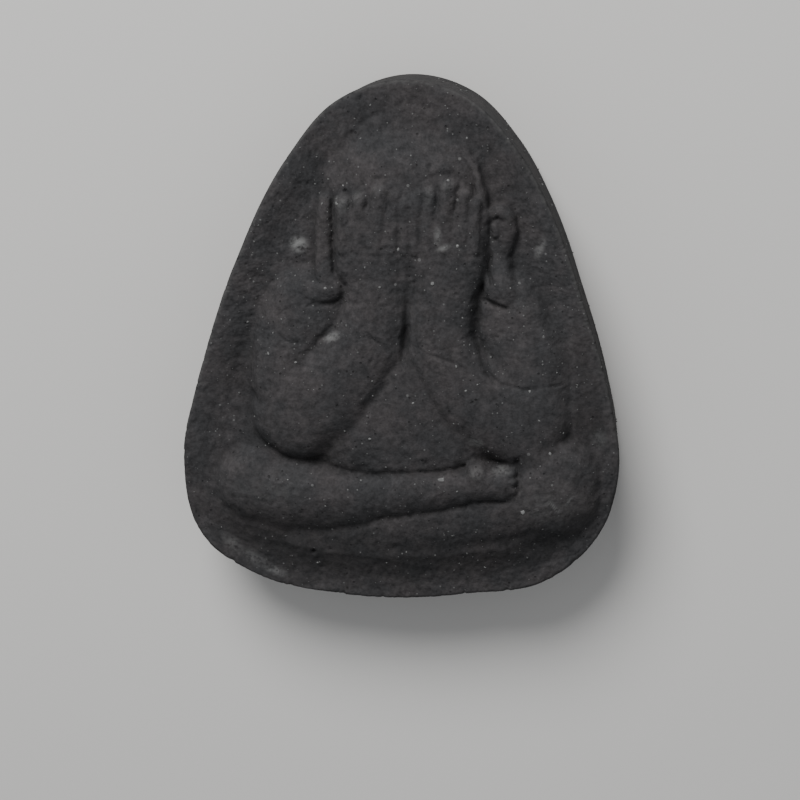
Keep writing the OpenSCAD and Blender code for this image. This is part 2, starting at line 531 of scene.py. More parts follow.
@dataclass(frozen=True)
class Head:
    """The head behind the hands, with the arc of its crown pressed around it.

    edge is the ridge down its right side, and furrows are the short lines above the finger
    ends and the grooves down both sides of the head.
    """

    skull: Dome = Dome(0.42, 8.35, 4.5, 4.55, 1.1, square=2.8, crown=0.15, side=0.13)
    crown: Dome = Dome(0.3, 9.4, 4.6, 5.4, -0.05, square=2.2, crown=0.02, side=0.04)
    edge: Limb = Limb((
        (2.6, 12.3, 0.2, 0.0), (3.6, 11.9, 0.22, 0.25), (4.4, 11.0, 0.24, 0.38),
        (4.75, 10.0, 0.28, 0.5), (4.9, 9.0, 0.34, 0.75), (5.05, 8.1, 0.36, 0.75),
        (5.1, 7.2, 0.3, 0.6), (5.1, 6.4, 0.26, 0.5),
    ), crown=0.5, side=0.6)
    arc: Crease = Crease((
        (-4.1, 10.4, 0.4, 0.02), (-3.8, 11.2, 0.32, 0.1), (-3.3, 12.4, 0.3, 0.14),
        (-2.7, 13.0, 0.28, 0.14), (-1.8, 13.8, 0.28, 0.16), (0.0, 14.5, 0.28, 0.16),
        (1.2, 14.6, 0.32, 0.12), (2.9, 14.3, 0.4, 0.0),
    ))
    furrows: tuple[Crease, ...] = creases(
        ((-1.6, 9.95, 0.16, 0.04), (-1.2, 10.25, 0.2, 0.07), (-0.7, 10.25, 0.2, 0.07),
         (-0.2, 10.0, 0.16, 0.04)),
        ((1.3, 9.9, 0.16, 0.04), (1.9, 10.25, 0.22, 0.06), (2.7, 10.55, 0.26, 0.1),
         (3.3, 10.45, 0.24, 0.08), (3.7, 10.2, 0.18, 0.04)),
        ((-3.8, 9.5, 0.16, 0.03), (-3.3, 9.8, 0.2, 0.07), (-2.8, 9.7, 0.16, 0.03)),
        ((5.0, 12.2, 0.4, 0.05), (5.25, 11.2, 0.55, 0.14), (5.35, 9.8, 0.55, 0.14),
         (5.3, 8.6, 0.4, 0.06)),
        ((-4.4, 12.6, 0.4, 0.04), (-4.7, 11.6, 0.6, 0.24), (-4.85, 10.2, 0.6, 0.26),
         (-4.95, 9.0, 0.45, 0.18), (-5.0, 8.2, 0.3, 0.02)),
    )

    def height(self, x: Array, y: Array) -> Array:
        """Skull, crown and edge, less the arc and the furrows."""
        head = join(joined(x, y, Join.SOFT, self.skull, self.crown), self.edge.height(x, y), Join.TIGHT)
        return head - self.arc.depth(x, y) - sum(furrow.depth(x, y) for furrow in self.furrows)


@dataclass(frozen=True)
class LeftEar:
    """The left ear: a long strip beside the hand, whose lobe bends onto the shoulder."""

    strip: Limb = Limb((
        (-4.6, 8.7, 0.35, 0.4), (-4.62, 8.0, 0.42, 0.6), (-4.62, 6.4, 0.46, 0.7),
        (-4.58, 5.0, 0.5, 0.8), (-4.55, 4.3, 0.6, 0.88), (-4.3, 3.6, 0.75, 0.9), (-4.0, 3.4, 0.62, 0.92),
    ), crown=0.35, side=0.3)
    lobe: Limb = Limb((
        (-5.8, 3.5, 0.5, 0.6), (-5.1, 3.3, 0.6, 0.78), (-4.3, 3.2, 0.55, 0.82),
    ), crown=0.3, side=0.25)

    def height(self, x: Array, y: Array) -> Array:
        """Strip and lobe together."""
        return joined(x, y, Join.TIGHT, self.strip, self.lobe)


@dataclass(frozen=True)
class RightEar:
    """The right ear: a loop around a small knob, then the long lobe with a fold beside it."""

    plate: Dome = Dome(5.85, 6.9, 0.95, 1.6, 0.3, square=2.2, crown=0.1, side=0.25)
    loop: Limb = Limb((
        (5.35, 7.9, 0.24, 0.4), (5.6, 8.15, 0.28, 0.48), (6.0, 8.25, 0.32, 0.5), (6.45, 7.9, 0.34, 0.46),
        (6.6, 7.3, 0.38, 0.34), (6.5, 6.5, 0.4, 0.2), (6.25, 5.9, 0.42, 0.2), (6.1, 5.4, 0.48, 0.3),
        (6.1, 4.7, 0.6, 0.45), (6.25, 3.85, 0.6, 0.76), (6.4, 3.2, 0.6, 0.8),
    ), crown=0.3, side=0.18)
    knob: Limb = Limb(((5.78, 7.35, 0.22, 0.46), (5.82, 6.9, 0.26, 0.48)), crown=0.4, side=0.4)
    fold: Limb = Limb((
        (5.15, 5.4, 0.14, 0.3), (5.2, 4.6, 0.2, 0.5), (5.4, 3.8, 0.27, 0.7), (5.75, 3.2, 0.4, 0.8),
    ), crown=0.5, side=0.6)

    def height(self, x: Array, y: Array) -> Array:
        """Plate, loop, knob and fold together."""
        ear = joined(x, y, Join.CRISP, self.plate, self.loop)
        return join(ear, np.maximum(self.knob.height(x, y), self.fold.height(x, y)), Join.CRISP)


@dataclass(frozen=True)
class Hand:
    """A hand laid flat over the face.

    Fingers are a row each: x of the root, x of the tip, y of the tip, half width and top at the
    tip. They rise by root_rise towards their roots, which all lie at root_y.
    """

    back: Dome
    fingers: Rows
    root_y: float = 5.9
    root_rise: float = 0.06
    root_width: float = 0.85
    middle_width: float = 0.9
    tip_size: float = 0.8
    finger_crown: float = 0.42
    tip_crown: float = 0.3
    side: float = 0.3

    def height(self, x: Array, y: Array) -> Array:
        """The back of the hand, with each finger as a low ridge that ends in a round tip.

        Args:
            x: Across the drawing, in millimetres.
            y: Up the drawing, in millimetres.

        Returns:
            Heights above the rim.
        """
        forms: list[Form] = [self.back]
        for root_x, tip_x, tip_y, half, top in self.fingers:
            middle_x, middle_y = (root_x + tip_x) / 2, (self.root_y + tip_y) / 2
            forms.append(Limb((
                (root_x, self.root_y, half * self.root_width, top + self.root_rise),
                (middle_x, middle_y, half * self.middle_width, top + self.root_rise / 2),
                (tip_x, tip_y - half, half, top),
            ), self.finger_crown, self.side))
            tip = half * self.tip_size
            forms.append(Dome(tip_x, tip_y - half, tip, tip, top, crown=self.tip_crown, side=self.side))
        return joined(x, y, Join.CRISP, *forms)


@dataclass(frozen=True)
class Arm:
    """An upper arm and the forearm that rises from its elbow to the hand."""

    upper: Limb
    fore: Limb


@dataclass(frozen=True)
class Legs:
    """The crossed legs: the rear leg below, and the front leg over it with its foot.

    Toes are a row each: x, y and half length. lean is how much higher the legs lie for each
    millimetre above lean_y.
    """

    rear: Limb = Limb((
        (8.6, -9.9, 3.0, 0.85), (7.6, -10.4, 3.05, 0.9), (5.75, -11.0, 2.95, 0.95),
        (3.2, -11.6, 3.0, 0.95), (0.0, -12.0, 2.8, 0.88), (-3.2, -12.6, 2.15, 0.65),
        (-5.8, -12.95, 1.4, 0.28), (-7.2, -13.1, 0.8, -0.1),
    ), crown=0.34, side=0.22)
    knee: Dome = Dome(9.3, -9.45, 2.8, 3.1, 0.95, square=2.2, crown=0.2, side=0.1)
    front: Limb = Limb((
        (-9.1, -9.75, 2.8, 1.1), (-7.5, -10.25, 2.62, 1.2), (-5.7, -10.4, 2.25, 1.25),
        (-3.8, -10.4, 1.8, 1.25), (-1.87, -10.18, 1.45, 1.2), (0.0, -9.85, 1.36, 1.2),
        (1.94, -9.58, 1.2, 1.2), (3.84, -9.23, 1.05, 1.2), (5.4, -8.9, 1.02, 1.22),
        (6.45, -8.85, 1.0, 1.25),
    ), crown=0.38, side=0.17)
    ankle: Dome = Dome(4.9, -8.05, 0.6, 0.55, 1.12, square=2.4, crown=0.3, side=0.4)
    toes: Rows = ((6.95, -7.95, 0.32), (7.15, -8.45, 0.3), (7.1, -9.0, 0.3))
    toe_top: float = 1.18
    toe_width: float = 0.8
    toe_crown: float = 0.3
    toe_side: float = 0.5
    lean: float = 0.2
    lean_y: float = -9.8

    def height(self, x: Array, y: Array) -> Array:
        """Both legs, the ankle bone and the ends of the toes, leaning down towards the base.

        Args:
            x: Across the drawing, in millimetres.
            y: Up the drawing, in millimetres.

        Returns:
            Heights above the rim.
        """
        rear = joined(x, y, Join.MELTED, self.rear, self.knee)
        legs = join(rear, self.front.height(x, y), Join.CRISP)
        legs = join(legs, self.ankle.height(x, y), Join.TIGHT)
        for toe_x, toe_y, size in self.toes:
            toe = Dome(
                toe_x, toe_y, size, size * self.toe_width, self.toe_top,
                crown=self.toe_crown, side=self.toe_side,
            )
            legs = join(legs, toe.height(x, y), Join.CRISP)
        return legs + self.lean * (y - self.lean_y)


LEFT_HAND = Hand(
    back=Dome(-1.68, 6.2, 2.3, 2.75, 1.25, square=5.0, crown=0.03, side=0.3),
    fingers=(
        (-3.3, -3.38, 9.15, 0.46, 1.2),
        (-2.4, -2.38, 9.35, 0.46, 1.26),
        (-1.38, -1.1, 9.95, 0.54, 1.33),
        (-0.42, -0.2, 9.6, 0.42, 1.26),
        (0.34, 0.38, 9.3, 0.34, 1.18),
    ),
)
RIGHT_HAND = Hand(
    back=Dome(2.95, 6.2, 2.3, 2.75, 1.25, square=5.0, crown=0.03, side=0.3),
    fingers=(
        (1.0, 1.1, 9.6, 0.38, 1.18),
        (1.78, 1.9, 9.8, 0.43, 1.26),
        (2.76, 2.96, 10.35, 0.58, 1.33),
        (3.82, 3.9, 9.7, 0.46, 1.26),
        (4.58, 4.6, 9.2, 0.38, 1.18),
    ),
)
LEFT_ARM = Arm(
    upper=Limb((
        (-5.9, 2.6, 2.0, 0.7), (-6.4, 1.3, 2.4, 0.8), (-7.0, -0.6, 2.25, 0.95), (-7.2, -2.6, 2.15, 1.15),
    ), crown=0.22, side=0.35),
    fore=Limb((
        (-1.5, 5.0, 2.05, 1.25), (-1.5, 3.6, 2.05, 1.3), (-1.57, 2.0, 2.15, 1.35),
        (-1.95, 0.45, 2.38, 1.4), (-2.65, -1.1, 2.65, 1.45), (-4.2, -2.9, 2.88, 1.45),
        (-5.6, -4.1, 2.98, 1.4), (-6.35, -4.75, 3.08, 1.3),
    ), crown=0.22, side=0.32),
)
RIGHT_ARM = Arm(
    upper=Limb((
        (6.6, 2.75, 1.7, 0.7), (7.0, 1.5, 2.06, 0.9), (7.45, 0.0, 2.31, 1.05), (7.9, -1.5, 2.44, 1.15),
        (8.0, -2.9, 2.44, 1.2),
    ), crown=0.22, side=0.35),
    fore=Limb((
        (2.9, 5.1, 2.35, 1.25), (2.85, 3.7, 2.25, 1.3), (2.7, 2.1, 2.1, 1.35), (2.66, 0.56, 2.05, 1.38),
        (2.95, -0.85, 2.3, 1.4), (3.85, -2.35, 2.6, 1.42), (5.75, -3.85, 2.95, 1.42), (7.55, -4.7, 3.2, 1.36),
    ), crown=0.16, side=0.38),
)
WEB = Limb((
    (0.7, 8.5, 0.5, 1.12), (0.65, 6.0, 0.5, 1.12), (0.58, 4.5, 0.5, 1.05), (0.5, 3.0, 0.5, 0.85),
    (0.4, 1.4, 0.45, 0.6),
), crown=0.1, side=0.3)

# Lines pressed between the forms: x, y, half width, depth
CREASES = creases(
    # Between the hands and the forearms
    (
        (0.65, 9.0, 0.16, 0.03), (0.75, 6.6, 0.2, 0.06), (0.8, 5.1, 0.24, 0.08), (0.65, 4.0, 0.26, 0.1),
        (0.52, 2.7, 0.28, 0.16), (0.45, 1.5, 0.3, 0.3), (0.42, 0.5, 0.36, 0.52),
        (0.38, -0.3, 0.36, 0.45), (0.25, -1.0, 0.3, 0.2), (0.1, -1.6, 0.3, 0.04),
    ),
    # Beside the left hand
    (
        (-4.3, 8.9, 0.16, 0.0), (-4.3, 8.4, 0.2, 0.0), (-4.25, 7.6, 0.24, 0.03),
        (-4.15, 6.6, 0.24, 0.06), (-4.0, 5.4, 0.26, 0.12), (-3.9, 4.5, 0.26, 0.12),
    ),
    # Under the left ear's lobe
    (
        (-5.7, 2.4, 0.18, 0.02), (-5.3, 2.4, 0.24, 0.06), (-4.6, 2.4, 0.28, 0.06),
        (-3.8, 2.6, 0.28, 0.06), (-3.35, 3.25, 0.26, 0.08), (-3.55, 4.1, 0.26, 0.08),
    ),
    # Between the right forearm and upper arm
    (
        (5.4, 8.0, 0.2, 0.0), (5.5, 6.5, 0.28, 0.05), (5.4, 5.2, 0.28, 0.12), (5.12, 3.8, 0.34, 0.22),
        (4.8, 2.9, 0.42, 0.36), (4.7, 1.6, 0.42, 0.4), (4.75, 0.7, 0.38, 0.4), (5.1, -0.5, 0.32, 0.34),
        (5.46, -1.35, 0.28, 0.28), (6.0, -2.0, 0.24, 0.2), (6.4, -2.34, 0.2, 0.12),
    ),
    # Beside the right ear's lobe
    (
        (5.2, 6.6, 0.2, 0.1), (5.3, 5.3, 0.22, 0.16), (5.5, 4.3, 0.2, 0.14), (5.75, 3.6, 0.16, 0.06),
    ),
    # Under the right ear's lobe
    (
        (4.83, 2.95, 0.24, 0.2), (5.3, 2.8, 0.24, 0.24), (5.9, 2.65, 0.24, 0.22), (6.4, 2.5, 0.2, 0.14),
        (6.8, 2.35, 0.16, 0.04),
    ),
    # Between the left forearm and upper arm
    (
        (-3.43, 2.7, 0.3, 0.2), (-3.7, 1.6, 0.3, 0.2), (-4.1, 0.9, 0.35, 0.16),
        (-4.57, 0.4, 0.45, 0.12), (-5.2, -0.3, 0.5, 0.1), (-6.2, -1.3, 0.5, 0.06),
        (-6.9, -1.9, 0.5, 0.0),
    ),
    # Under the left elbow
    (
        (-8.9, -6.6, 0.25, 0.02), (-8.2, -7.2, 0.3, 0.08), (-7.4, -7.6, 0.36, 0.06),
        (-6.3, -7.8, 0.4, 0.0), (-5.2, -7.6, 0.36, 0.0),
    ),
    # Under the right elbow
    (
        (5.4, -7.7, 0.4, 0.04), (6.4, -7.75, 0.45, 0.1), (7.3, -7.8, 0.5, 0.18), (8.2, -7.5, 0.4, 0.1),
        (8.8, -6.9, 0.26, 0.0),
    ),
    # Over the front leg
    (
        (-5.1, -8.05, 0.2, 0.02), (-4.0, -8.25, 0.26, 0.05), (-2.1, -8.5, 0.3, 0.07),
        (0.1, -8.3, 0.28, 0.08), (1.8, -8.3, 0.3, 0.08), (3.2, -8.15, 0.32, 0.08),
        (4.8, -7.7, 0.3, 0.08),
    ),
    # Between the front leg and the rear leg
    (
        (-9.4, -12.4, 0.4, 0.02), (-7.6, -12.9, 0.5, 0.05), (-5.0, -12.45, 0.4, 0.06),
        (-2.5, -11.95, 0.32, 0.08), (-0.9, -11.3, 0.28, 0.1), (1.35, -10.95, 0.26, 0.12),
        (3.9, -10.25, 0.26, 0.15), (4.6, -9.9, 0.28, 0.18), (6.0, -9.8, 0.26, 0.18),
        (7.3, -9.75, 0.2, 0.08),
    ),
    # Beyond the toes
    (
        (7.4, -7.2, 0.3, 0.3), (7.45, -8.0, 0.26, 0.3), (7.5, -8.6, 0.2, 0.12), (7.5, -9.3, 0.2, 0.08),
    ),
    # Belly, left side
    (
        (0.2, -0.8, 0.3, 0.06), (-0.7, -1.9, 0.4, 0.1), (-1.4, -3.1, 0.45, 0.1),
        (-2.2, -4.3, 0.45, 0.08), (-3.3, -6.1, 0.4, 0.04),
    ),
    # Belly, right side
    (
        (0.5, -0.5, 0.3, 0.06), (0.95, -1.4, 0.35, 0.1), (1.6, -2.6, 0.35, 0.1),
        (2.8, -4.8, 0.35, 0.08), (3.7, -6.3, 0.3, 0.03),
    ),
    # Ground beside the left arm
    (
        (-8.8, 1.0, 0.6, 0.0), (-9.4, -0.6, 1.0, 0.14), (-9.9, -2.6, 1.2, 0.24),
        (-9.9, -4.6, 1.1, 0.24), (-10.0, -6.0, 0.8, 0.1), (-10.2, -6.9, 0.6, 0.0),
    ),
    # Ground beside the right arm
    (
        (10.9, 2.6, 0.8, 0.0), (12.0, 0.0, 0.9, 0.1), (12.7, -2.6, 1.0, 0.16), (13.1, -4.8, 1.0, 0.16),
        (13.3, -6.6, 0.9, 0.1), (13.2, -8.6, 0.8, 0.0),
    ),
)

# Cracks and folds of the skin
CRACKS = creases(
    ((-7.8, 0.8, 0.14, 0.04), (-7.2, 0.25, 0.16, 0.12), (-6.7, 0.05, 0.15, 0.08), (-6.0, 0.0, 0.12, 0.02)),
    ((1.0, 0.0, 0.13, 0.03), (1.8, -0.4, 0.14, 0.07), (2.4, -0.6, 0.15, 0.1), (3.6, -1.0, 0.14, 0.05)),
    ((6.4, -2.3, 0.13, 0.06), (7.2, -2.4, 0.15, 0.12), (8.1, -2.5, 0.15, 0.12), (9.0, -2.35, 0.14, 0.06),
     (9.9, -2.3, 0.13, 0.1), (10.2, -2.2, 0.12, 0.02)),
    ((4.0, -10.5, 0.13, 0.05), (4.2, -11.3, 0.14, 0.07), (4.3, -12.2, 0.13, 0.02)),
    ((-1.85, 0.9, 0.16, 0.06), (-1.6, 0.5, 0.2, 0.14), (-1.2, 0.15, 0.16, 0.06)),
    ((6.5, 4.3, 0.13, 0.03), (7.2, 4.0, 0.15, 0.08), (7.8, 3.6, 0.14, 0.04)),
    ((1.6, 12.2, 0.14, 0.03), (2.0, 12.0, 0.16, 0.07), (2.5, 11.8, 0.13, 0.03)),
    ((-3.1, 5.6, 0.18, 0.01), (-2.2, 5.7, 0.2, 0.02), (-1.0, 5.6, 0.18, 0.015), (0.1, 5.8, 0.16, 0.0)),
    ((-3.3, 2.6, 0.18, 0.02), (-2.0, 2.7, 0.2, 0.04), (-0.8, 2.5, 0.18, 0.04), (0.1, 2.7, 0.16, 0.0)),
)

# Larger pits: x, y, half width, depth
SINGLE_PITS: Rows = (
    (-3.8, -3.8, 0.16, 0.22), (4.6, -3.3, 0.2, 0.22), (-3.3, 9.4, 0.2, 0.2), (-5.6, -13.9, 0.26, 0.3),
    (-4.5, -13.7, 0.24, 0.2), (0.3, -6.2, 0.14, 0.16), (0.7, -6.7, 0.14, 0.14), (-3.2, -6.3, 0.14, 0.15),
    (1.4, -9.6, 0.12, 0.14), (9.6, -6.6, 0.2, 0.2), (-9.7, 0.9, 0.16, 0.15), (-7.6, -8.8, 0.16, 0.15),
)


@dataclass(frozen=True)
class Relief:
    """Height of the pressed face above the rim, over any point of the drawing.

    wander bends the forms' edges sideways, skin is the soft unevenness of the surface and grit
    the fine one, which grows by coarser over coarser_over millimetres below coarser_from.
    """

    outline: Outline
    head: Head = Head()
    chest: Dome = Dome(0.4, 0.8, 7.6, 4.0, 0.75)
    belly: Dome = Dome(0.3, -4.4, 5.7, 4.7, 0.95, crown=0.08, side=0.12)
    bank: Limb = Limb((
        (10.2, 1.0, 1.6, -0.1), (10.7, -1.5, 1.9, 0.1), (11.0, -4.0, 1.9, 0.1), (11.2, -6.5, 1.7, -0.15),
    ), crown=0.3, side=0.05)
    legs: Legs = Legs()
    left_ear: LeftEar = LeftEar()
    right_ear: RightEar = RightEar()
    bends: Unevenness = Unevenness(11)
    bumps: Unevenness = Unevenness(23)
    wander: float = 0.07
    wander_size: float = 1.1
    skin: float = 0.035
    skin_size: float = 2.6
    grit: float = 0.03
    grit_size: float = 0.62
    grit_keep: float = 0.85
    coarser: float = 0.5
    coarser_from: float = 5.0
    coarser_over: float = 3.0
    pit_flatness: float = 1.2
    pits: tuple[Pits, ...] = (
        Pits(seed=5, cell=0.9, share_of_cells=0.4, half_width=0.13, deepest=0.09),
        Pits(seed=6, cell=2.3, share_of_cells=0.35, half_width=0.2, deepest=0.12),
    )

    def figure(self, x: Array, y: Array) -> Array:
        """Ground and figure, joined from the back to the front.

        Args:
            x: Across the drawing, in millimetres.
            y: Up the drawing, in millimetres.

        Returns:
            Heights above the rim, without lines or unevenness.
        """
        back = joined(x, y, Join.SOFT, Ground(self.outline), self.bank, self.head, self.chest)
        trunk = joined(x, y, Join.SOFT, LEFT_ARM.upper, RIGHT_ARM.upper, self.belly)
        body = join(join(back, trunk, Join.MELTED), self.legs.height(x, y), Join.TIGHT)
        ears = np.maximum(self.left_ear.height(x, y), self.right_ear.height(x, y))
        forearms = joined(x, y, Join.CRISP, LEFT_ARM.fore, RIGHT_ARM.fore)
        forearms = join(forearms, WEB.height(x, y), Join.TIGHT)
        hands = joined(x, y, Join.CRISP, LEFT_HAND, RIGHT_HAND)
        return join(join(join(body, ears, Join.SOFT), forearms, Join.SOFT), hands, Join.TIGHT)

    def height(self, x: Array, y: Array) -> Array:
        """The figure, less its creases, cracks and pits, on an uneven surface.

        Args:
            x: Across the drawing, in millimetres.
            y: Up the drawing, in millimetres.

        Returns:
            Heights above the rim, in millimetres.
        """
        bent_x = x + self.wander * self.bends.layered(x, y, self.wander_size, 3)
        bent_y = y + self.wander * self.bends.layered(y + 31, x - 17, self.wander_size, 3)
        z = self.figure(bent_x, bent_y)
        z = z - np.max([crease.depth(bent_x, bent_y) for crease in CREASES], axis=0)
        z = z - np.max([crack.depth(bent_x, bent_y) for crack in CRACKS], axis=0)
        for pit_x, pit_y, half, depth in SINGLE_PITS:
            gap = np.hypot(x - pit_x, (y - pit_y) * self.pit_flatness) / half
            z = z - depth * np.clip(1 - gap * gap, 0, None) ** 2
        for pits in self.pits:
            z = z - pits.depth(x, y)
        skin = self.skin * self.bumps.layered(x, y, self.skin_size, 2)
        grit = self.grit * self.bumps.layered(y - 9, x + 5, self.grit_size, 3, self.grit_keep)
        low = ramp(self.coarser_from, self.coarser_from + self.coarser_over, -y)
        return z + skin + grit * (1 + self.coarser * low)


def blurred(z: Array, passes: int) -> Array:
    """Smooths a grid of heights.

    Args:
        z: Heights in rows and columns.
        passes: Number of times that each height becomes (before + 2 × itself + after) / 4,
            along the columns and along the rows.

    Returns:
        The smoothed heights.
    """
    for _ in range(passes):
        for axis in (0, 1):
            ends = [(1, 1) if k == axis else (0, 0) for k in (0, 1)]
            wide = np.pad(z, ends, mode="edge")
            z = (np.take(wide, range(z.shape[axis]), axis) + 2 * z
                 + np.take(wide, range(2, z.shape[axis] + 2), axis)) / 4
    return z


class DiskGrid:
    """A square grid of cells that fills a disk, and its rim as a loop.

    A place (s, t) of the square goes to (s √(1 - t²/2), t √(1 - s²/2)) of the unit disk, which
    spreads the cells evenly, and puts the square's edge on the circle.
    """

    def __init__(self, s: Array, t: Array) -> None:
        """Lays the grid out.

        Args:
            s: Places of the grid's columns, from -1 to 1.
            t: Places of its rows, as many, from -1 to 1.
        """
        columns, rows = np.meshgrid(s, t)
        u = columns * np.sqrt(1 - rows**2 / 2)
        v = rows * np.sqrt(1 - columns**2 / 2)
        self.number = np.arange(u.size).reshape(u.shape)
        self.share = np.hypot(u, v)
        self.angle = np.arctan2(v, u)

    def cells(self) -> Array:
        """Corner numbers of each cell, anticlockwise."""
        n = self.number
        return np.stack([n[:-1, :-1], n[:-1, 1:], n[1:, 1:], n[1:, :-1]], axis=-1).reshape(-1, 4)

    def loop(self) -> Array:
        """Numbers of the points on the circle, anticlockwise."""
        n = self.number
        return np.concatenate([n[0, :-1], n[:-1, -1], n[-1, :0:-1], n[:0:-1, 0]])


def spaced(cells: int, middle: float, width: float, gain: float) -> Array:
    """Places from -1 to 1 that lie closer around a middle.

    The spacing is in inverse proportion to 1 + gain exp(-((place - middle) / width)²).

    Args:
        cells: Number of steps.
        middle: Place around which the steps are short.
        width: How far that reaches.
        gain: How much shorter they are there.

    Returns:
        cells + 1 places.
    """
    fine = np.linspace(-1, 1, FINE_STEPS + 1)
    density = 1 + gain * np.exp(-(((fine - middle) / width) ** 2))
    run = np.concatenate([[0], np.cumsum((density[1:] + density[:-1]) / 2)])
    return np.interp(np.linspace(0, run[-1], cells + 1), run, fine)


def band(first: Array, second: Array) -> Array:
    """Cells between two loops of point numbers, where the second loop lies below or inside."""
    return np.stack([first, second, np.roll(second, -1), np.roll(first, -1)], axis=-1)


def mesh_object(name: str, points: Array, faces: list[list[int]], smooth: bool) -> bpy.types.Object:
    """Puts points and faces into a new object at the origin.

    Args:
        name: Name of the object and its mesh.
        points: Points in metres, as rows of three.
        faces: Point numbers of each face, anticlockwise seen from outside.
        smooth: Whether the faces are shaded smooth.

    Returns:
        The object, linked to the scene.
    """
    mesh = bpy.data.meshes.new(name)
    mesh.from_pydata(points.tolist(), [], faces)
    mesh.polygons.foreach_set("use_smooth", np.full(len(faces), smooth))
    mesh.update()
    piece = bpy.data.objects.new(name, mesh)
    bpy.context.scene.collection.objects.link(piece)
    return piece


def paint(piece: bpy.types.Object, name: str, values: Array, rest: float = 0.0) -> None:
    """Keeps one number per point on the piece's mesh, for its material to read.

    Args:
        piece: The piece.
        name: Name that the material reads.
        values: Numbers of the first points.
        rest: Number of all the points after them.
    """
    full = np.full(len(piece.data.vertices), rest, dtype=np.float32)
    full[:len(values)] = values
    layer = piece.data.attributes.new(name, "FLOAT", "POINT")
    layer.data.foreach_set("value", full)


Number = Union["Value", float]


class Value:
    """A number that varies over a surface, and the maths that nodes do on it."""

    def __init__(self, bench: "Bench", socket: bpy.types.NodeSocket) -> None:
        """Wraps an output socket of a node on the bench."""
        self.bench = bench
        self.socket = socket

    def maths(self, operation: str, first: Number, second: Number) -> "Value":
        """A Math node's answer for two numbers."""
        return self.bench.node("ShaderNodeMath", {"operation": operation}, {0: first, 1: second})

    def __add__(self, other: Number) -> "Value":
        """Sum."""
        return self.maths("ADD", self, other)

    def __sub__(self, other: Number) -> "Value":
        """Difference."""
        return self.maths("SUBTRACT", self, other)

    def __rsub__(self, other: Number) -> "Value":
        """Difference from a plain number."""
        return self.maths("SUBTRACT", other, self)

    def __mul__(self, other: Number) -> "Value":
        """Product."""
        return self.maths("MULTIPLY", self, other)

    def above(self, other: Number) -> "Value":
        """1 where this number is the larger, and 0 elsewhere."""
        return self.maths("GREATER_THAN", self, other)

    def most(self, other: Number) -> "Value":
        """The larger of the two."""
        return self.maths("MAXIMUM", self, other)

    def between(self, low: float, high: float) -> "Value":
        """Smooth step from 0 at low to 1 at high."""
        ends = {"Value": self, "From Min": low, "From Max": high}
        return self.bench.node("ShaderNodeMapRange", {"interpolation_type": "SMOOTHSTEP"}, ends)

    __radd__ = __add__
    __rmul__ = __mul__


